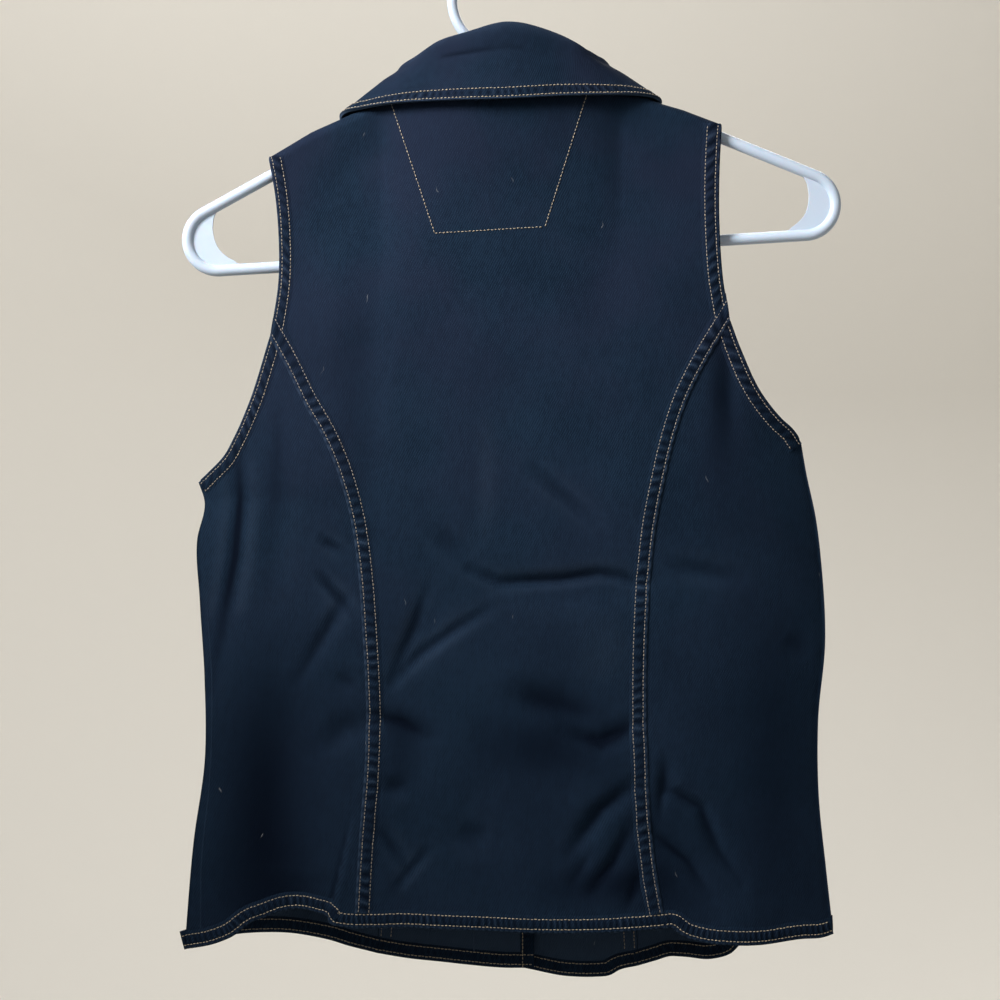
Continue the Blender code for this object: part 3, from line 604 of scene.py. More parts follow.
def closed_ribbon(rings, lie, wear_and_shading):
    """A closed ribbon from rings of points that follow each other."""
    count, sides = rings.shape[:2]
    one = np.arange(count * sides).reshape(count, sides)
    beside = np.roll(one, -1, axis=1)
    walls = np.stack([one[:-1], beside[:-1], beside[1:], one[1:]], axis=-1).reshape(-1, 4)
    faces = [*walls.tolist(), one[0, ::-1].tolist(), one[-1].tolist()]
    return rings.reshape(-1, 3), faces, lie.reshape(-1, 2), wear_and_shading.ravel()


def outwards(points, faces):
    """The faces, turned round if they enclose the cloth inside out."""
    fours = np.array([f for f in faces if len(f) == 4])
    a, b, c, d = (points[fours[:, k]] for k in range(4))
    volume = np.sum(np.cross(a, b) * c) + np.sum(np.cross(a, c) * d)
    return faces if volume > 0 else [f[::-1] for f in faces]


def cloth_piece(node, shells, stitches):
    """One object for a piece of cloth with its turned edges and seams, standing for its solid, and one for
    its thread. Both are named for the solid."""
    points, faces, lie, wear_and_shading, base = [], [], [], [], 0
    for shell_points, shell_faces, shell_lie, shell_wear_and_shading in shells:
        middle = shell_points.mean(axis=0)
        for face in outwards(shell_points - middle, shell_faces):
            faces.append([v + base for v in face])
        base += len(shell_points)
        points.append(shell_points)
        lie.append(shell_lie)
        wear_and_shading.append(shell_wear_and_shading)
    made = mesh_piece(node + "_cloth", np.concatenate(points) * MM, faces, np.concatenate(lie) * MM, denim)
    spots = made.data.attributes.new("wear_and_painted_shading", "FLOAT", "POINT")
    spots.data.foreach_set("value", np.concatenate(wear_and_shading).astype(np.float32))
    made.data.set_sharp_from_angle(angle=math.radians(SHARP_FOLD))
    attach(made, "root")
    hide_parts(node)
    sewing = thread_piece(node + "_topstitch", stitches)


def panel(edges, depth, facing, rub_and_shade, shoulder=False, spacing=CLOTH_GRID):
    """The shell of one panel between its left, right, bottom and top edges."""
    left, right, bottom, top = edges
    half = np.array(0.5)
    width = np.linalg.norm(right(half) - left(half))
    length = np.linalg.norm(top(half) - bottom(half))
    s = np.linspace(0.0, 1.0, round(width / spacing) + 1)
    t = np.linspace(0.0, 1.0, round(length / spacing) + 1)
    if shoulder:
        close = 1.0 - np.array(ROLL_ROWS) / length
        t = np.concatenate([t[t < close[0] - 0.5 * spacing / length], close])
    s, t = np.meshgrid(s, t)
    flat = coons(*edges, s, t)
    outer, _ = on_cloth(depth, facing, flat, np.full(s.shape, WALL))
    inner, _ = on_cloth(depth, facing, flat, np.zeros(s.shape))
    return closed_shell(outer, inner, flat, rub_and_shade(flat[..., 0], flat[..., 1]))


# Turned edges: hems and armholes are folded in twice and felled seams are folded over each other, so the
# cloth is about three layers thick there. Washing puckers it between its two rows of stitches, and the
# puckers rub pale. Each profile has, for a point round the fold, its distance from the edge, its height over
# the outer face and its share of the puckers
HEM_FOLD = (
    (-0.45, -0.60, 0.1), (-0.25, 0.25, 0.2), (0.6, 0.74, 0.3), (1.5, 0.66, 0.1), (2.2, 0.48, 0.0),
    (3.0, 0.84, 0.8), (4.0, 0.96, 1.0), (5.3, 1.00, 1.0), (6.6, 0.94, 1.0), (7.6, 0.78, 0.8),
    (8.4, 0.40, 0.0), (9.2, 0.34, 0.2), (10.2, 0.18, 0.0), (11.4, -0.15, 0.0), (11.4, -1.0, 0.0),
    (8.4, -1.5, 0.0), (5.5, -1.95, 0.6), (2.2, -1.6, 0.0), (0.3, -1.5, 0.1),
)
FELLED_FOLD = (
    (-0.60, -0.80, 0.0), (-0.60, 0.35, 0.1), (0.1, 0.86, 0.2), (1.0, 0.92, 0.2), (1.7, 0.60, 0.0),
    (2.5, 0.90, 0.8), (3.8, 1.00, 1.0), (5.2, 1.02, 1.0), (6.5, 0.96, 1.0), (7.4, 0.80, 0.8),
    (8.2, 0.38, 0.0), (9.0, 0.32, 0.2), (10.0, 0.18, 0.0), (11.2, -0.20, 0.0), (11.2, -0.9, 0.0),
    (5.5, -1.0, 0.0), (0.3, -0.9, 0.0),
)
# Distance from the edge and height of the two rows of stitches
HEM_ROWS = ((2.2, 0.58), (8.4, 0.46))
FELLED_ROWS = ((1.7, 0.68), (8.2, 0.44))
PUCKER_HEIGHT = 0.28
PUCKER_WEAR, BAND_DYE, EDGE_WEAR = 0.56, -0.42, 0.14
SEAM_PUCKERS, ARMHOLE_PUCKERS, HEM_PUCKERS = 6.8, 7.5, 3.8
# How far the puckers lean along the edge with the distance from it, in radians a millimetre
SEAM_SLANT, ARMHOLE_SLANT = 0.12, 0.6
BAND_STEP = 0.9
# How far a felled seam's end is cut askew along the armhole, over which length, and how far it lies on top
SEAM_REACH, REACH_LENGTH, REACH_RISE = 1.25, 26.0, 0.5


def puckers(way, off, spacing, seed, slant=SEAM_SLANT):
    """The uneven rise and fall of puckers along a sewn edge, from -1 to 1, narrower below than above."""
    turn = math.tau * way / spacing + 0.8 * np.sin(way / spacing * 0.83 + seed)
    turn = turn + 0.5 * np.sin(way / spacing * 2.1 + 2.3 * seed) + slant * off + 0.3 * np.sin(off + way / 7)
    hollow = 0.5 - 0.5 * np.sin(turn)
    return (1.0 - 2.0 * hollow**1.4) * (0.8 + 0.2 * np.sin(way / spacing * 0.57 + 1.7 * seed))


def offset_lines(edge, side, offs, step, ends, reach=0.0):
    """Flat places at distances from an edge, on one side of the way along it, and the way to each. With a
    reach the last of them go further on, the more so the further they are from the edge."""
    dense = edge(np.linspace(*ends, 400))
    way = lengths_along(dense)
    at = np.linspace(0.0, way[-1], max(int(way[-1] / step), 4))
    line = np.stack([np.interp(at, way, dense[:, k]) for k in range(2)], axis=-1)
    along = unit(np.gradient(line, axis=0))
    inwards = side * np.stack([along[:, 1], -along[:, 0]], axis=-1)
    offs = np.asarray(offs)[None, :, None]
    further = reach * np.clip(1.0 - (way[-1] - at) / REACH_LENGTH, 0.0, 1.0)
    return line[:, None] + inwards[:, None] * offs + along[:, None] * offs * further[:, None, None], at


def sewn_edge(edge, side, depth, facing, fold, rows, spacing, seed, fading, ends=(0.0, 1.0), scale=1.0,
              inside=(None, None), reach=0.0):
    """The thick fold along an edge, and its two rows of stitches. side is 1 where the cloth lies to the right
    of the way along the edge and -1 where it lies to the left; inside has heights of rows on that face."""
    offs, heights, shares = np.array(fold).T
    flat, way = offset_lines(edge, side, offs * scale, BAND_STEP, ends, reach)
    rise = REACH_RISE * np.clip(reach, 0.0, 1.0) * smooth_step(1.0 - (way[-1] - way) / REACH_LENGTH)[:, None]
    slant = ARMHOLE_SLANT if spacing == ARMHOLE_PUCKERS else SEAM_SLANT
    wave = puckers(way[:, None], offs[None], spacing, seed, slant) * shares
    ripple = PUCKER_HEIGHT * wave * np.sign(heights + 0.5)
    rings, _ = on_cloth(depth, facing, flat, WALL + heights + rise + ripple)
    wear_and_shading = PUCKER_WEAR * wave + BAND_DYE * shares + EDGE_WEAR * ((heights > 0) & (offs < 1.2))
    sewn = []
    for (row, seat), within in zip(rows, inside):
        flat_row, _ = offset_lines(edge, side, [row * scale], BAND_STEP, ends, reach)
        for height, way_up in ((WALL + seat, 1.0), (within, -1.0)):
            if height is not None:
                line, normals = on_cloth(depth, facing, flat_row, np.full(flat_row.shape[:2], height) + rise)
                sewn.append(sew(line[:, 0], way_up * normals[:, 0], fading, lead=0.4 * seat))
    return closed_ribbon(rings, flat, wear_and_shading), sewn


# The edge of a folded or faced layer that shows as a pale line: half width, height and wear
LINE_HALF_WIDTH, LINE_HEIGHT, LINE_WEAR = 0.3, 0.15, 0.3
LINE_PROFILE = ((-1.6, -0.3), (-1.0, 0.5), (0.0, 1.0), (1.0, 0.5), (1.6, -0.3))
# A row that only holds a layer down lies this far over the outer face
ROW_SEAT = 0.1


def fold_line(curve, depth, facing, height, way_up, wear_and_painted_shading=LINE_WEAR):
    """A thin rubbed ridge along a curve on the cloth, on its outer (1) or inner (-1) face."""
    profile = np.array(LINE_PROFILE) * (LINE_HALF_WIDTH, LINE_HEIGHT)
    flat, _ = offset_lines(curve, 1, profile[:, 0], BAND_STEP, (0.0, 1.0))
    rings, _ = on_cloth(depth, facing, flat, np.broadcast_to(height + way_up * profile[:, 1], flat.shape[:2]))
    return closed_ribbon(rings, flat, np.full(flat.shape[:2], wear_and_painted_shading))


def back_rub_and_shade(x, z):
    return rubbing_and_shade(x, z, BACK_CREASES, BACK_LAPS, BACK_WEAR_AND_SHADE_STREAKS)


back_ridge = table_read((*SHOULDER_LEFT, *BACK_NECK[1:-1], *SHOULDER_RIGHT), 0, 1)
back_depth = make_depth(1, back_ridge, BACK_NECK_DEPTH, BACK_CREASES, BACK_LAPS, 0.4)
half_gap = SEAM_GAP / 2
back_left_edge = moved(seam_then_armhole(BACK_SEAM_LEFT, BACK_ARMHOLE_LEFT_HIGH), half_gap)
back_right_edge = moved(seam_then_armhole(BACK_SEAM_RIGHT, BACK_ARMHOLE_RIGHT_HIGH), -half_gap)
back_top = chain(smooth_curve(SHOULDER_LEFT), smooth_curve(BACK_NECK), smooth_curve(SHOULDER_RIGHT))
back_hem = smooth_curve(BACK_HEM_CENTRE)
# The sewn-down outline of a facing below the collar, in one row
FACING_OUTLINE = ((-69, -97), (-41.2, -181.5), (28.4, -177.4), (55, -92))
FACING_FADING = 0.45
# The stretches of a centre panel's edge that are seam and armhole, and the armhole fold's size beside a hem's
SEAM_STRETCH, ARMHOLE_STRETCH = (0.019, ARMHOLE_SHARE), (ARMHOLE_SHARE, 0.999)
LEFT_ARMHOLE, RIGHT_ARMHOLE = 0.86, 1.06

back_edges = (back_left_edge, back_right_edge, back_hem, back_top)
shells = [panel(back_edges, back_depth, -1, back_rub_and_shade, True, CENTRE_GRID)]
stitches = []
for edge, side, fold, rows, spacing, seed, fading, ends, scale, reach in (
    (back_left_edge, 1, FELLED_FOLD, FELLED_ROWS, SEAM_PUCKERS, 0.3, 0.8, SEAM_STRETCH, 1.0, SEAM_REACH),
    (back_right_edge, -1, FELLED_FOLD, FELLED_ROWS, SEAM_PUCKERS, 1.9, 0.8, SEAM_STRETCH, 1.0, SEAM_REACH),
    (back_left_edge, 1, HEM_FOLD, HEM_ROWS, ARMHOLE_PUCKERS, 2.6, 0.6, ARMHOLE_STRETCH, LEFT_ARMHOLE, 0.0),
    (back_right_edge, -1, HEM_FOLD, HEM_ROWS, ARMHOLE_PUCKERS, 3.3, 0.6, ARMHOLE_STRETCH, RIGHT_ARMHOLE, 0.0),
    (back_hem, -1, HEM_FOLD, HEM_ROWS, HEM_PUCKERS, 4.4, 0.0, (0.0, 1.0), 1.0, 0.0),
):
    band, sewn = sewn_edge(
        edge, side, back_depth, -1, fold, rows, spacing, seed, fading, ends, scale, reach=reach)
    shells.append(band)
    stitches += sewn
for start, end in zip(FACING_OUTLINE[:-1], FACING_OUTLINE[1:]):
    flat = np.linspace(start, end, 60)
    line, normals = on_cloth(back_depth, -1, flat, np.full(len(flat), WALL + ROW_SEAT))
    stitches.append(sew(line, normals, FACING_FADING))
cloth_piece("back_centre", shells, stitches)

# A pale line on the left side panel: the side seam's edge, which lies a little to the back
SIDE_SEAM_LINE = ((-191, -632), (-190.5, -581), (-185.5, -530), (-184, -470), (-187, -415))

for name, edges, lines, scale, seed in (
    ("back_side_left",
     (smooth_curve(SIDE_LEFT[::-1]), moved(smooth_curve(BACK_SEAM_LEFT), -half_gap),
      smooth_curve(BACK_HEM_LEFT), smooth_curve(BACK_ARMHOLE_LEFT_LOW)),
     ((0.04, SIDE_SEAM_LINE),), LEFT_ARMHOLE, 5.1),
    ("back_side_right",
     (moved(smooth_curve(BACK_SEAM_RIGHT), half_gap), smooth_curve(SIDE_RIGHT[::-1]),
      smooth_curve(BACK_HEM_RIGHT), smooth_curve(BACK_ARMHOLE_RIGHT_LOW[::-1])), (), RIGHT_ARMHOLE, 6.2),
):
    hem, hem_rows = sewn_edge(edges[2], -1, back_depth, -1, HEM_FOLD, HEM_ROWS, HEM_PUCKERS, seed, 0.0)
    armhole, armhole_rows = sewn_edge(
        edges[3], 1, back_depth, -1, HEM_FOLD, HEM_ROWS, ARMHOLE_PUCKERS, seed + 0.7, 0.6, scale=scale)
    pale_lines = [
        fold_line(smooth_curve(line), back_depth, -1, WALL + ROW_SEAT, 1, wear_and_painted_shading) for wear_and_painted_shading, line in lines]
    shells = [panel(edges, back_depth, -1, back_rub_and_shade, spacing=SIDE_GRID), hem, armhole, *pale_lines]
    cloth_piece(name, shells, [*hem_rows, *armhole_rows])


# Front panels
# The fronts are cut like the back, each with a centre and a side panel and a felled seam, and their edges lap
# at the middle, right over left. Their inside shows below the back's hem, so it has stitches as well.

FRONT_NECK_DEPTH = 20.0
LAP_LIFT, LAP_RAMP = 3.6, 22.0
FRONT_ARMHOLE_LEFT_LOW = ((-193.2, -339), (-184, -331), (-172, -319), (-156, -284), (-142, -237))
FRONT_ARMHOLE_LEFT_HIGH = ((-142, -237), (-137.5, -206), (-138, -178), (-147.5, -131.5))
FRONT_ARMHOLE_RIGHT_LOW = ((193.2, -314), (184, -302), (163.5, -279), (150, -251), (141.5, -226))
FRONT_ARMHOLE_RIGHT_HIGH = ((141.5, -226), (137.8, -198), (136.8, -158), (141.5, -110.3))
FRONT_SEAM_LEFT = ((-80, -645.7), (-76, -520), (-82, -430), (-92, -350), (-113, -290), (-142, -237))
FRONT_SEAM_RIGHT = ((90.3, -654), (85, -520), (88, -430), (97, -345), (115, -279), (141.5, -226))
UNDERLAP_EDGE = ((22, -655.6), (22, -400), (22, -171))
OVERLAP_EDGE = ((-12, -654.2), (-12, -400), (-12, -173))
FRONT_HEM_SIDE_LEFT = ((-202.4, -638), (-186, -633), (-172.9, -631), (-152.5, -630.4), (-129.2, -631.7),
                       (-111.4, -635.9), (-99.3, -640.4), (-80, -645.7))
FRONT_HEM_LEFT = ((-80, -645.7), (-59.2, -649.3), (-36, -651.8), (-19.6, -653.5), (0, -655.4), (22, -655.6))
FRONT_HEM_RIGHT = ((-12, -654.2), (13, -656), (29.6, -659.1), (45, -661), (62, -661.4), (72, -660.2),
                   (78, -656.8), (90.3, -654))
FRONT_HEM_SIDE_RIGHT = ((90.3, -654), (103.8, -650.3), (110.3, -648.4), (119.6, -648.4), (137.8, -649),
                        (149.5, -645.3), (158, -637.2), (169, -631.5), (193, -628.6), (213.8, -628))
FRONT_NECK_LEFT = ((-78, -96.2), (-70.5, -119), (-45, -153), (-10, -170), (22, -171))
FRONT_NECK_RIGHT = ((-12, -173), (14, -169), (46, -149), (70.5, -111), (78, -87))
FRONT_CREASES = (
    (18, 4, (-150, -470), (-95, -480), (-40, -500)),
    (18, 4, (150, -460), (100, -480), (60, -510)),
    (22, 6, (-120, -560), (-125, -660)),
    (22, -4, (120, -570), (118, -670)),
    (16, 3, (-95, -330), (-60, -395)),
    (16, 3, (100, -320), (62, -390)),
    (8, 4, (-168, -352), (-172, -395), (-180, -445)),
    (9, 3.5, (172, -345), (178, -380), (176, -420)),
    (7, 3, (-60, -545), (-35, -590)),
    (8, 3.5, (72, -556), (58, -580), (45, -602)),
    (10, 2.5, (-100, -150), (-72, -235)),
    (10, 2.5, (98, -140), (70, -225)),
    (6, 2.5, (-40, -418), (-8, -432)),
    (6, 2.5, (48, -428), (16, -438)),
    (4, 2.6, (92, -398), (64, -402), (34, -396)),
    (4, 2.4, (-84, -452), (-62, -436), (-36, -424)),
    (5, 2.8, (-82, -488), (-58, -492), (-40, -500)),
    (5, 3.4, (88, -532), (66, -548), (46, -574)),
    (5, 3.2, (-88, -540), (-66, -556), (-50, -584)),
    (5, 3.2, (108, -522), (128, -546), (146, -584)),
    (4.5, 3, (-104, -520), (-126, -548), (-140, -590)),
    (4, 2.2, (112, -400), (146, -408)),
    (5, 2.6, (-106, -410), (-134, -458)),
)
PLACKET_WIDTH = 39.0
HEM_INSIDE, SEAM_INSIDE = (-0.62, -0.62), (-0.14, -0.14)
CLOSING_INSIDE = (None, -0.62)


def front_rub_and_shade(x, z):
    return rubbing_and_shade(x, z, FRONT_CREASES, (), ())


left_ridge = table_read((*SHOULDER_LEFT, *FRONT_NECK_LEFT[1:]), 0, 1)
right_ridge = table_read((*FRONT_NECK_RIGHT[:-1], *SHOULDER_RIGHT), 0, 1)
left_depth = make_depth(2, left_ridge, FRONT_NECK_DEPTH, FRONT_CREASES, (), 1.7)
right_depth = make_depth(2, right_ridge, FRONT_NECK_DEPTH, FRONT_CREASES, (), 1.7)


def lapped_depth(x, z):
    """The right front, lifted where it lies over the left one."""
    return right_depth(x, z) + LAP_LIFT * smooth_step((UNDERLAP_EDGE[0][0] + LAP_RAMP - x) / LAP_RAMP)


# The stretches of a closing edge that have the facing's row and the fold, the fold's size beside a hem's, how
# far the facing lies inside the cloth and how faded its row is
PLACKET_STRETCH, CLOSING_STRETCH, CLOSING_FOLD = (0.02, 0.93), (0.0, 0.985), 0.86
FACING_SEAT, PLACKET_FADING = -0.2, 0.3


def placket(edge, side, depth):
    """The row of stitches that holds down a front edge's facing, and the facing's edge on the inside."""
    flat, _ = offset_lines(edge, side, [PLACKET_WIDTH], BAND_STEP, PLACKET_STRETCH)
    line, normals = on_cloth(depth, 1, flat, np.full(flat.shape[:2], WALL + ROW_SEAT))
    facing_edge = fold_line(smooth_curve(flat[::20, 0]), depth, 1, FACING_SEAT, -1)
    return facing_edge, sew(line[:, 0], normals[:, 0], PLACKET_FADING)


front_left_edge = moved(seam_then_armhole(FRONT_SEAM_LEFT, FRONT_ARMHOLE_LEFT_HIGH), half_gap)
front_right_edge = moved(seam_then_armhole(FRONT_SEAM_RIGHT, FRONT_ARMHOLE_RIGHT_HIGH), -half_gap)
underlap, overlap = smooth_curve(UNDERLAP_EDGE), smooth_curve(OVERLAP_EDGE)
for name, depth, edges, seam, seam_side, closing, seed in (
    ("front_centre_left", left_depth,
     (front_left_edge, underlap, smooth_curve(FRONT_HEM_LEFT),
      chain(smooth_curve(SHOULDER_LEFT), smooth_curve(FRONT_NECK_LEFT))),
     front_left_edge, 1, underlap, 7.1),
    ("front_centre_right", lapped_depth,
     (overlap, front_right_edge, smooth_curve(FRONT_HEM_RIGHT),
      chain(smooth_curve(FRONT_NECK_RIGHT), smooth_curve(SHOULDER_RIGHT))),
     front_right_edge, -1, overlap, 8.4),
):
    shells = [panel(edges, depth, 1, front_rub_and_shade, shoulder=True)]
    facing_edge, facing_row = placket(closing, -seam_side, depth)
    shells.append(facing_edge)
    stitches = [facing_row]
    for edge, side, fold, rows, spacing, fading, ends, scale, inside, reach in (
        (seam, seam_side, FELLED_FOLD, FELLED_ROWS,
         SEAM_PUCKERS, 0.6, SEAM_STRETCH, 1.0, SEAM_INSIDE, SEAM_REACH),
        (seam, seam_side, HEM_FOLD, HEM_ROWS,
         ARMHOLE_PUCKERS, 0.6, ARMHOLE_STRETCH, LEFT_ARMHOLE, HEM_INSIDE, 0.0),
        (edges[2], -1, HEM_FOLD, HEM_ROWS, HEM_PUCKERS, 0.0, (0.0, 1.0), 1.0, HEM_INSIDE, 0.0),
        (closing, -seam_side, HEM_FOLD, HEM_ROWS,
         HEM_PUCKERS, 0.1, CLOSING_STRETCH, CLOSING_FOLD, CLOSING_INSIDE, 0.0),
    ):
        band, sewn = sewn_edge(
            edge, side, depth, 1, fold, rows, spacing, seed, fading, ends, scale, inside, reach)
        shells.append(band)
        stitches += sewn
        seed += 0.9
    cloth_piece(name, shells, stitches)

for name, depth, edges, seed in (
    ("front_side_left", left_depth,
     (smooth_curve(SIDE_LEFT[::-1]), moved(smooth_curve(FRONT_SEAM_LEFT), -half_gap),
      smooth_curve(FRONT_HEM_SIDE_LEFT), smooth_curve(FRONT_ARMHOLE_LEFT_LOW)), 9.2),
    ("front_side_right", right_depth,
     (moved(smooth_curve(FRONT_SEAM_RIGHT), half_gap), smooth_curve(SIDE_RIGHT[::-1]),
      smooth_curve(FRONT_HEM_SIDE_RIGHT), smooth_curve(FRONT_ARMHOLE_RIGHT_LOW[::-1])), 10.3),
):
    hem, hem_rows = sewn_edge(
        edges[2], -1, depth, 1, HEM_FOLD, HEM_ROWS, HEM_PUCKERS, seed, 0.0, inside=HEM_INSIDE)
    armhole, armhole_rows = sewn_edge(
        edges[3], 1, depth, 1, HEM_FOLD, HEM_ROWS, ARMHOLE_PUCKERS, seed + 0.7, 0.6, scale=LEFT_ARMHOLE)
    cloth_piece(name, [panel(edges, depth, 1, front_rub_and_shade), hem, armhole], [*hem_rows, *armhole_rows])


# Collar
# A turned-over collar of two layers of the denim: it stands up from the neck seam, folds over at its roll and
# falls on the outside of the vest. Two rows of stitches follow its edge and ends, and a crease crosses it.

COLLAR_WALL, COLLAR_FOLD = 1.8, 2.6
# For each place round the neck: x, y, z of the neck seam, of the roll and of the outer edge
COLLAR_SECTIONS = (
    (-2, 25.5, -168.0, -2, 28.5, -164.5, -50, 29.0, -190.0),
    (-43, 21.0, -148.5, -41, 24.0, -140.0, -80, 25.5, -171.0),
    (-68.5, 12.5, -115.0, -62.5, 13.0, -102.0, -99, 17.5, -126.5),
    (-74.5, 6.5, -101.2, -62, 7.0, -84.0, -102.2, 11.5, -109.4),
    (-75.5, 0.0, -92.5, -61.5, 0.0, -73.5, -101.0, 0.0, -102.9),
    (-66, -9.0, -89.5, -51.5, -8.5, -68.6, -86, -9.9, -100.9),
    (-52, -15.5, -85.5, -40, -14.0, -61.3, -66, -18.0, -99.5),
    (-26, -19.3, -82.8, -19, -16.5, -54.6, -32, -23.5, -98.6),
    (3, -20.5, -81.0, 6, -17.5, -49.5, 4, -26.0, -98.0),
    (29, -19.2, -80.0, 29, -16.5, -54.2, 37, -23.5, -95.8),
    (53, -15.5, -79.0, 47, -14.0, -62.0, 68, -18.0, -94.0),
    (66, -9.0, -80.0, 57.5, -8.5, -67.0, 88, -10.3, -92.7),
    (75.5, 0.0, -81.5, 66.5, 0.0, -70.6, 102.2, 0.0, -93.9),
    (75, 7.8, -90.0, 65.8, 8.0, -78.5, 103.2, 12.0, -99.3),
    (68.5, 12.5, -107.0, 63.5, 13.0, -94.5, 100, 17.5, -117.5),
    (45, 21.0, -144.0, 43, 24.0, -134.0, 83, 25.5, -162.0),
    (10, 25.5, -164.5, 10, 28.5, -161.0, 58, 29.0, -186.0),
)
COLLAR_ROWS = (1.2, 6.8)
COLLAR_PUCKERS = 5.2
# The puckered band between the rows: its middle and half width from the edge
BAND_MIDDLE, BAND_HALF_WIDTH = 4.0, 1.9
# Heights of the turned-in edge, of the grooves that the rows pull in it and of its puckers, and where it ends
TURNING_HEIGHT, GROOVE_DEPTH, COLLAR_PUCKER_HEIGHT = 0.3, 0.22, 0.24
GROOVE_HALF_WIDTH, TURNING_END, TURNING_FADE = 0.55, 7.2, 1.6
ROLL_WEAR, ROLL_HALF_WIDTH = 0.10, 4.0
COLLAR_FADING = 0.35
COLLAR_STEP = 1.1
# Distances from the edge that the mesh has points at, before even ones up to the neck seam
COLLAR_EDGE = (0.0, 0.4, 0.8, 1.2, 1.8, 2.6, 3.4, 4.2, 5.0, 5.8, 6.4, 6.8, 7.4, 8.2, 9.2, 10.5)
COLLAR_REST = 26
COLLAR_CREASE = (2.6, 1.2, (-36, -69.5), (-12, -66.5), (13, -65.7))
# How dark the collar's crease line is, as kept dye and painted shade, and its half width
COLLAR_CREASE_DYE_AND_SHADE, COLLAR_CREASE_LINE = 0.7, 1.1
# Only the part that lies behind has the crease: how far back it begins, and over which length
BEHIND_FROM, BEHIND_OVER = 8.0, 6.0
COLLAR_END_ROW = 34.0

sections = np.array(COLLAR_SECTIONS, float)
knots = lengths_along(sections[:, 3:6])
knots = knots / knots[-1]
neck_seam, roll_line, outer_edge = (smooth_curve(sections[:, k:k + 3], knots) for k in (0, 3, 6))
dense = np.linspace(0.0, 1.0, 800)
dense_way = lengths_along(outer_edge(dense))
edge_way = np.linspace(0.0, dense_way[-1], int(dense_way[-1] / COLLAR_STEP))
grid, from_edge = [], []
for t in np.interp(edge_way, dense_way, dense):
    foot, top, rim = neck_seam(t), roll_line(t), outer_edge(t)
    out = (rim - top) * (1.0, 1.0, 0.0)
    out = unit(out) * COLLAR_FOLD
    down = np.array((0.0, 0.0, COLLAR_FOLD * 0.7))
    within, without = top - out - down, top + out - down
    path = np.array((
        rim, without + (rim - without) * 0.67, without + (rim - without) * 0.33, without, top + out * 0.6,
        top - out * 0.6, within, foot + (within - foot) * 0.5, foot,
    ))
    length = lengths_along(path)[-1]
    places = np.concatenate([COLLAR_EDGE, np.linspace(COLLAR_EDGE[-1], length, COLLAR_REST + 1)[1:]])
    grid.append(smooth_curve(path)(places / length))
    from_edge.append(places)
grid, from_edge = np.array(grid), np.array(from_edge)
normals = unit(np.cross(np.gradient(grid, axis=0), np.gradient(grid, axis=1)))
backmost = np.unravel_index(np.argmin(grid[..., 1]), grid.shape[:2])
normals *= -np.sign(normals[backmost][1])
way = edge_way[:, None]
from_rim = np.minimum(from_edge, np.minimum(way, edge_way[-1] - way) + 0.3)
in_band = np.exp(-(((from_rim - BAND_MIDDLE) / BAND_HALF_WIDTH) ** 2))
wave = puckers(way + 0.0 * from_edge, from_edge, COLLAR_PUCKERS, 0.9) * in_band
grooves = sum(np.exp(-(((from_rim - row) / GROOVE_HALF_WIDTH) ** 2)) for row in COLLAR_ROWS)
raised = TURNING_HEIGHT * (1.0 - smooth_step((from_rim - TURNING_END) / TURNING_FADE))
raised = raised - GROOVE_DEPTH * grooves + COLLAR_PUCKER_HEIGHT * wave
half_width, depth, *points = COLLAR_CREASE
off, share = near_line(grid[..., 0], grid[..., 2], points)
behind = smooth_step((-grid[..., 1] - BEHIND_FROM) / BEHIND_OVER)
along = np.sin(math.pi * np.clip(share, 0.1, 0.9))
raised = raised - depth * behind * along * np.exp(-((off / half_width) ** 2))
raised = raised - 0.5 * hang_waves(grid[..., 0] * 1.3, grid[..., 2], 2.9)
to_roll = np.linalg.norm(grid - roll_line(np.interp(edge_way, dense_way, dense))[:, None], axis=-1)
wear_and_shading = PUCKER_WEAR * wave + EDGE_WEAR * (from_rim < 1.0)
wear_and_shading = wear_and_shading + ROLL_WEAR * np.exp(-((to_roll / ROLL_HALF_WIDTH) ** 2)) + BAND_DYE * in_band
# A dark line along the crease behind, partly kept dye and partly painted shade
wear_and_shading = wear_and_shading - COLLAR_CREASE_DYE_AND_SHADE * behind * np.exp(-((off / COLLAR_CREASE_LINE) ** 2))
lie = np.stack([way + 0.0 * from_edge, from_edge], axis=-1)
shell = closed_shell(grid + normals * (COLLAR_WALL + raised)[..., None], grid, lie, wear_and_shading)
stitches = []
sewn_face = grid + normals * (COLLAR_WALL + GROOVE_DEPTH)
for row in COLLAR_ROWS:
    across = COLLAR_EDGE.index(row)
    first = int(np.searchsorted(edge_way, row))
    places = [(slice(first, len(edge_way) - first), across)]
    for station in (first, len(edge_way) - 1 - first):
        last = int(np.searchsorted(from_edge[station], COLLAR_END_ROW))
        places.append((station, slice(across, last)))
    stitches += [sew(sewn_face[place], normals[place], COLLAR_FADING) for place in places]
cloth_piece("collar", [shell], stitches)


# Buttons
# Six plain shank buttons of aged metal, each a stamped cap with a rolled rim and a low dome, riveted through
# the overlap. One is modelled with its shank on the origin, then copied to each solid's place.

# Radius and height of each ring from the shank to the middle of the cap
BUTTON_RINGS = ((3.9, 1.9), (5.6, 2.25), (7.7, 2.5), (8.3, 2.85), (8.5, 3.4), (8.3, 4.0), (7.8, 4.4),
                (7.1, 4.45), (6.6, 4.2), (6.1, 4.15), (5.4, 4.55), (4.2, 4.95), (2.6, 5.25), (0.9, 5.38))
BUTTON_COUNT, BUTTON_SIDES = 6, 36
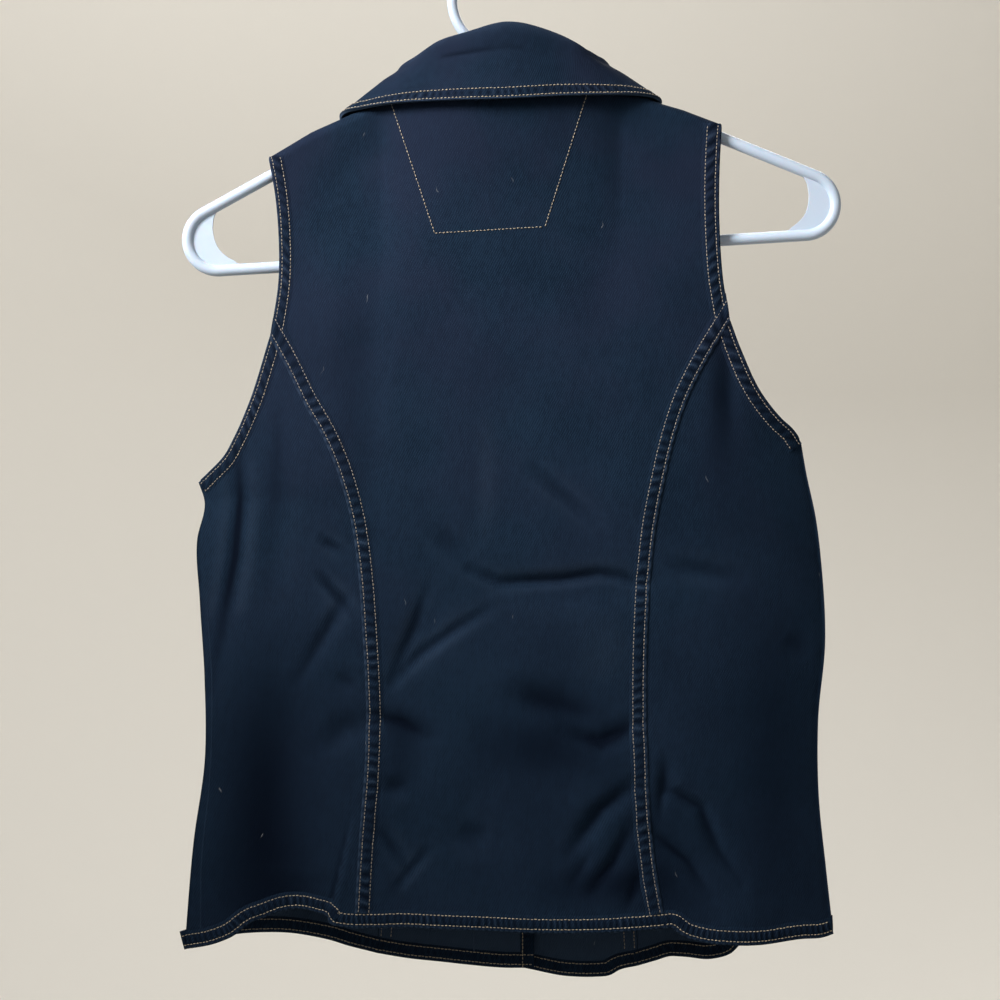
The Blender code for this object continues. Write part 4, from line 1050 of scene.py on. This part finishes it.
# The shank goes this far into the cloth
SHANK_RADIUS, SHANK_SINK = 3.4, 1.1
BUTTON_BROWN, BUTTON_BRIGHT = "#5E4A38", "#9A7E5C"
TARNISH_SIZE, SCRATCH_SIZE = 3.5, 0.5

aged_metal, tree, shader = start_material("tarnished copper-plated steel")
place = add(tree, "TexCoord", {}).outputs["Object"]
tarnish = add(tree, "TexNoise", {"Vector": place, "Scale": 1000 / TARNISH_SIZE, "Detail": 5.0})
scratches = add(tree, "TexNoise", {"Vector": place, "Scale": 1000 / SCRATCH_SIZE, "Detail": 2.0})
plating = add(tree, "MixRGB", {
    "Fac": tarnish.outputs["Fac"], "Color1": linear(BUTTON_BROWN), "Color2": linear(BUTTON_BRIGHT),
})
dullness = add(tree, "MapRange", {"Value": scratches.outputs["Fac"], "To Min": 0.28, "To Max": 0.5})
tree.links.new(plating.outputs["Color"], shader.inputs["Base Color"])
tree.links.new(dullness.outputs["Result"], shader.inputs["Roughness"])
shader.inputs["Metallic"].default_value = 1.0

bpy.ops.mesh.primitive_circle_add(vertices=BUTTON_SIDES, radius=SHANK_RADIUS * MM, fill_type="NGON")
pattern_button = bpy.context.active_object
bpy.ops.object.mode_set(mode="EDIT")
bpy.ops.mesh.select_all(action="SELECT")
radius, height = SHANK_RADIUS, 0.0
for next_radius, above_cloth in BUTTON_RINGS:
    next_height = SHANK_SINK + above_cloth
    rise = (next_height - height) * MM
    bpy.ops.mesh.extrude_region_move(TRANSFORM_OT_translate={"value": (0.0, 0.0, rise)})
    grow = next_radius / radius
    bpy.ops.transform.resize(value=(grow, grow, 1.0), center_override=(0.0, 0.0, next_height * MM))
    radius, height = next_radius, next_height
bpy.ops.mesh.select_all(action="SELECT")
bpy.ops.mesh.normals_make_consistent(inside=False)
bpy.ops.object.mode_set(mode="OBJECT")
bpy.ops.object.shade_smooth_by_angle(angle=math.radians(40))
pattern_button.data.materials.append(aged_metal)
for number in range(1, BUTTON_COUNT + 1):
    low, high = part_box(f"button_{number}")
    button = pattern_button.copy()
    button.data = pattern_button.data.copy()
    button.name = f"button_{number}_cap"
    bpy.context.scene.collection.objects.link(button)
    seat = Matrix.Translation(((low.x + high.x) / 2, low.y - SHANK_SINK * MM, (low.z + high.z) / 2))
    button.data.transform(seat @ Matrix.Rotation(-math.pi / 2, 4, "X"))
    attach(button, "root")
    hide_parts(f"button_{number}")
bpy.data.objects.remove(pattern_button)


# Hanger
# A white tube hanger moulded in one from polypropylene: arms, rounded ends and lower bar are one bent tube,
# with a thin web in each end and a hook. It hangs a little askew, with its right end higher.

TUBE_RADIUS = 3.75
HOOK_TUBE_RADIUS, HOOK_RADIUS = 3.3, 32.5
HOOK_START_ANGLE, HOOK_END_ANGLE = 262, 8.0
HANGER_LEAN = 3.46
APEX_X, APEX_Z, APEX_RADIUS = -3.0, -60.2, 18.0
ARM_SLOPE = 25.5
BAR_Z = -191.6
END_RADIUS = 19.7
WEB_HALF_THICKNESS = 1.2
# Inner edge of the web in the right end, from the bar up to the arm, round the end's centre: x, z
WEB_EDGE = ((-14, -19), (-11.2, -15.6), (-4.9, -11.1), (-0.2, -6.2), (2.5, 0.6), (3.1, 8.8), (1, 16.7),
            (-4.7, 21.8), (-9, 25))
HANGER_WHITE, HANGER_SHADE = "#ABBBCF", "#A8B7C9"
FLOW_SIZE, ORANGE_PEEL_SIZE = 60.0, 2.5

plastic, tree, shader = start_material("white moulded polypropylene")
place = add(tree, "TexCoord", {}).outputs["Object"]
flow = add(tree, "TexNoise", {"Vector": place, "Scale": 1000 / FLOW_SIZE, "Detail": 2.0})
body_colour = add(tree, "MixRGB", {
    "Fac": flow.outputs["Fac"], "Color1": linear(HANGER_WHITE), "Color2": linear(HANGER_SHADE),
})
peel = add(tree, "TexNoise", {"Vector": place, "Scale": 1000 / ORANGE_PEEL_SIZE})
skin = add(tree, "Bump", {"Height": peel.outputs["Fac"], "Strength": 0.12, "Distance": 0.0002})
gloss = add(tree, "MapRange", {"Value": peel.outputs["Fac"], "To Min": 0.3, "To Max": 0.42})
tree.links.new(body_colour.outputs["Color"], shader.inputs["Base Color"])
tree.links.new(gloss.outputs["Result"], shader.inputs["Roughness"])
tree.links.new(skin.outputs["Normal"], shader.inputs["Normal"])
shader.inputs["IOR"].default_value = 1.49
shader.inputs["Subsurface Weight"].default_value = 0.15
shader.inputs["Subsurface Scale"].default_value = 0.004


def arc(centre, radius, start, end, steps):
    angles = np.radians(np.linspace(start, end, steps))
    return [(centre[0] + radius * math.cos(a), centre[1] + radius * math.sin(a)) for a in angles]


def bent_tube(name, points, radius, cyclic):
    """A round tube along points in the hanger's plane, from a curve that is made a mesh."""
    bpy.ops.object.select_all(action="DESELECT")
    bpy.ops.curve.primitive_bezier_curve_add()
    made = bpy.context.active_object
    made.name = name
    made.data.splines.clear()
    spline = made.data.splines.new("POLY")
    spline.points.add(len(points) - 1)
    for target, (x, z) in zip(spline.points, points):
        target.co = (x * MM, 0.0, z * MM, 1.0)
    spline.use_cyclic_u = cyclic
    made.data.bevel_depth = radius * MM
    made.data.bevel_resolution = 8
    made.data.use_fill_caps = True
    bpy.ops.object.convert(target="MESH")
    bpy.ops.object.mode_set(mode="EDIT")
    bpy.ops.mesh.select_all(action="SELECT")
    bpy.ops.mesh.remove_doubles(threshold=0.00001)
    bpy.ops.mesh.normals_make_consistent(inside=False)
    bpy.ops.object.mode_set(mode="OBJECT")
    return made


slope = math.radians(ARM_SLOPE)
end_x = (APEX_Z - BAR_Z) / math.tan(slope) - END_RADIUS / math.tan(slope / 2)
end_z = BAR_Z + END_RADIUS
right_end = arc((APEX_X + end_x, end_z), END_RADIUS, 90 - ARM_SLOPE, -90, 32)
left_end = [(2 * APEX_X - x, z) for x, z in reversed(right_end)]
apex = arc((APEX_X, APEX_Z - APEX_RADIUS / math.cos(slope)), APEX_RADIUS, 90 + ARM_SLOPE, 90 - ARM_SLOPE, 12)
hanger = bent_tube("hanger_moulding", [*apex, *right_end, *left_end], TUBE_RADIUS, True)
hook_z = HOOK_TUBE_RADIUS - HOOK_RADIUS
hook = arc((0.0, hook_z), HOOK_RADIUS, HOOK_START_ANGLE, HOOK_END_ANGLE, 60)
mouldings = [bent_tube("hook", hook, HOOK_TUBE_RADIUS, False)]
for side in (1, -1):
    rim = arc((end_x, end_z), END_RADIUS, 85 - ARM_SLOPE, -85, 32)
    rim += [(end_x + x, end_z + z) for x, z in smooth_curve(WEB_EDGE)(np.linspace(0.0, 1.0, 32))]
    bpy.ops.object.select_all(action="DESELECT")
    bpy.ops.mesh.primitive_circle_add(vertices=len(rim), radius=1.0, fill_type="NGON")
    web = bpy.context.active_object
    for vertex, (x, z) in zip(web.data.vertices, rim):
        vertex.co = ((APEX_X + side * x) * MM, -WEB_HALF_THICKNESS * MM, z * MM)
    bpy.ops.object.mode_set(mode="EDIT")
    bpy.ops.mesh.select_all(action="SELECT")
    bpy.ops.mesh.extrude_region_move(
        TRANSFORM_OT_translate={"value": (0.0, 2 * WEB_HALF_THICKNESS * MM, 0.0)})
    bpy.ops.mesh.select_all(action="SELECT")
    bpy.ops.mesh.normals_make_consistent(inside=False)
    bpy.ops.object.mode_set(mode="OBJECT")
    mouldings.append(web)
bpy.ops.object.select_all(action="DESELECT")
bpy.context.view_layer.objects.active = hanger
hanger.select_set(True)
for moulding in mouldings:
    union = hanger.modifiers.new("moulded in one", "BOOLEAN")
    union.operation = "UNION"
    union.object = moulding
    bpy.ops.object.modifier_apply(modifier=union.name)
    bpy.data.objects.remove(moulding)
hanger.data.transform(Matrix.Rotation(-math.radians(HANGER_LEAN), 4, "Y"))
bpy.ops.object.shade_smooth_by_angle(angle=math.radians(35))
hanger.data.materials.clear()
hanger.data.materials.append(plastic)
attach(hanger, "root")
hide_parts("hanger")


# Studio
# A round sweep of pale paper stands for the floor and whatever is behind it, so that no edge of it shows from
# any side. The key light hangs at the upper left in front of the back, and three more light the rest.

SWEEP_RADIUS, SWEEP_HEIGHT, SWEEP_BEND, FLOOR_Z = 3.2, 5.0, 1.4, -1.3
FIBRES_PER_METRE = 900.0
ROOM_WHITE, ROOM_STRENGTH = "#F4F2EE", 0.25
SWEEP_PALE, SWEEP_FIBRE = "#E8E5DF", "#E4E1DA"
VIEW_WIDTH, SENSOR_WIDTH, LENS = 0.634, 36.0, 68.0
VIEW_PLANE_Y, VIEW_Z = -0.015, -0.350
# The key light has a grid in front of it, so that it fades towards the hem: angle in degrees
KEY_SPREAD = 50.0

bpy.ops.mesh.primitive_cylinder_add(
    vertices=96, radius=SWEEP_RADIUS, depth=SWEEP_HEIGHT, location=(0.0, 0.0, FLOOR_Z + SWEEP_HEIGHT / 2))
sweep = bpy.context.active_object
sweep.name = "paper_sweep"
bpy.ops.object.transform_apply(location=True)
bpy.ops.object.mode_set(mode="EDIT")
bpy.ops.mesh.select_all(action="DESELECT")
bpy.ops.object.mode_set(mode="OBJECT")
for face in sweep.data.polygons:
    face.select = face.normal.z > 0.5
bpy.ops.object.mode_set(mode="EDIT")
bpy.ops.mesh.delete(type="FACE")
bpy.ops.object.mode_set(mode="OBJECT")
for edge in sweep.data.edges:
    edge.select = all(sweep.data.vertices[v].co.z < FLOOR_Z + 0.01 for v in edge.vertices)
bpy.ops.object.mode_set(mode="EDIT")
bpy.ops.mesh.bevel(offset=SWEEP_BEND, segments=18, affect="EDGES")
bpy.ops.mesh.select_all(action="SELECT")
bpy.ops.mesh.flip_normals()
bpy.ops.object.mode_set(mode="OBJECT")
bpy.ops.object.shade_smooth()
paper, tree, shader = start_material("matt background paper")
place = add(tree, "TexCoord", {}).outputs["Object"]
fibres = add(tree, "TexNoise", {"Vector": place, "Scale": FIBRES_PER_METRE})
tone = add(tree, "MixRGB", {
    "Fac": fibres.outputs["Fac"], "Color1": linear(SWEEP_PALE), "Color2": linear(SWEEP_FIBRE),
})
tree.links.new(tone.outputs["Color"], shader.inputs["Base Color"])
shader.inputs["Roughness"].default_value = 0.9
sweep.data.materials.append(paper)

for name, place, aim, size, power, colour in (
    ("key", (-0.8, -0.62, 0.36), (0.1, 0.0, -0.27), 0.5, 4.2, "#FFFAF5"),
    ("fill", (1.6, -1.4, 0.5), (0.1, 0.0, -0.2), 1.4, 4.5, "#F4F6FF"),
    ("wall", (-0.3, 1.3, 1.6), (-0.5, 3.2, 0.9), 1.6, 29.0, "#FFFDFA"),
    ("rear", (0.4, 1.7, 1.2), (0.0, 0.3, -0.4), 1.5, 30.0, "#FFFFFF"),
):
    bpy.ops.object.light_add(type="AREA", location=place)
    light = bpy.context.active_object
    light.name = name + "_light"
    light.data.size = size
    light.data.energy = power
    light.data.color = linear(colour)[:3]
    if name == "key":
        light.data.spread = math.radians(KEY_SPREAD)
    away = np.array(place) - np.array(aim)
    light.rotation_euler = (
        math.acos(away[2] / np.linalg.norm(away)), 0.0, math.atan2(away[1], away[0]) + math.pi / 2)

world = bpy.data.worlds.new("soft room")
world.use_nodes = True
world.node_tree.nodes["Background"].inputs["Color"].default_value = linear(ROOM_WHITE)
world.node_tree.nodes["Background"].inputs["Strength"].default_value = ROOM_STRENGTH
bpy.context.scene.world = world
bpy.context.scene.view_settings.view_transform = "Standard"

bpy.ops.object.camera_add(
    location=(0.0, VIEW_PLANE_Y - VIEW_WIDTH * LENS / SENSOR_WIDTH, VIEW_Z), rotation=(math.pi / 2, 0.0, 0.0))
camera = bpy.context.active_object
camera.data.lens = LENS
camera.data.sensor_width = SENSOR_WIDTH
bpy.context.scene.camera = camera
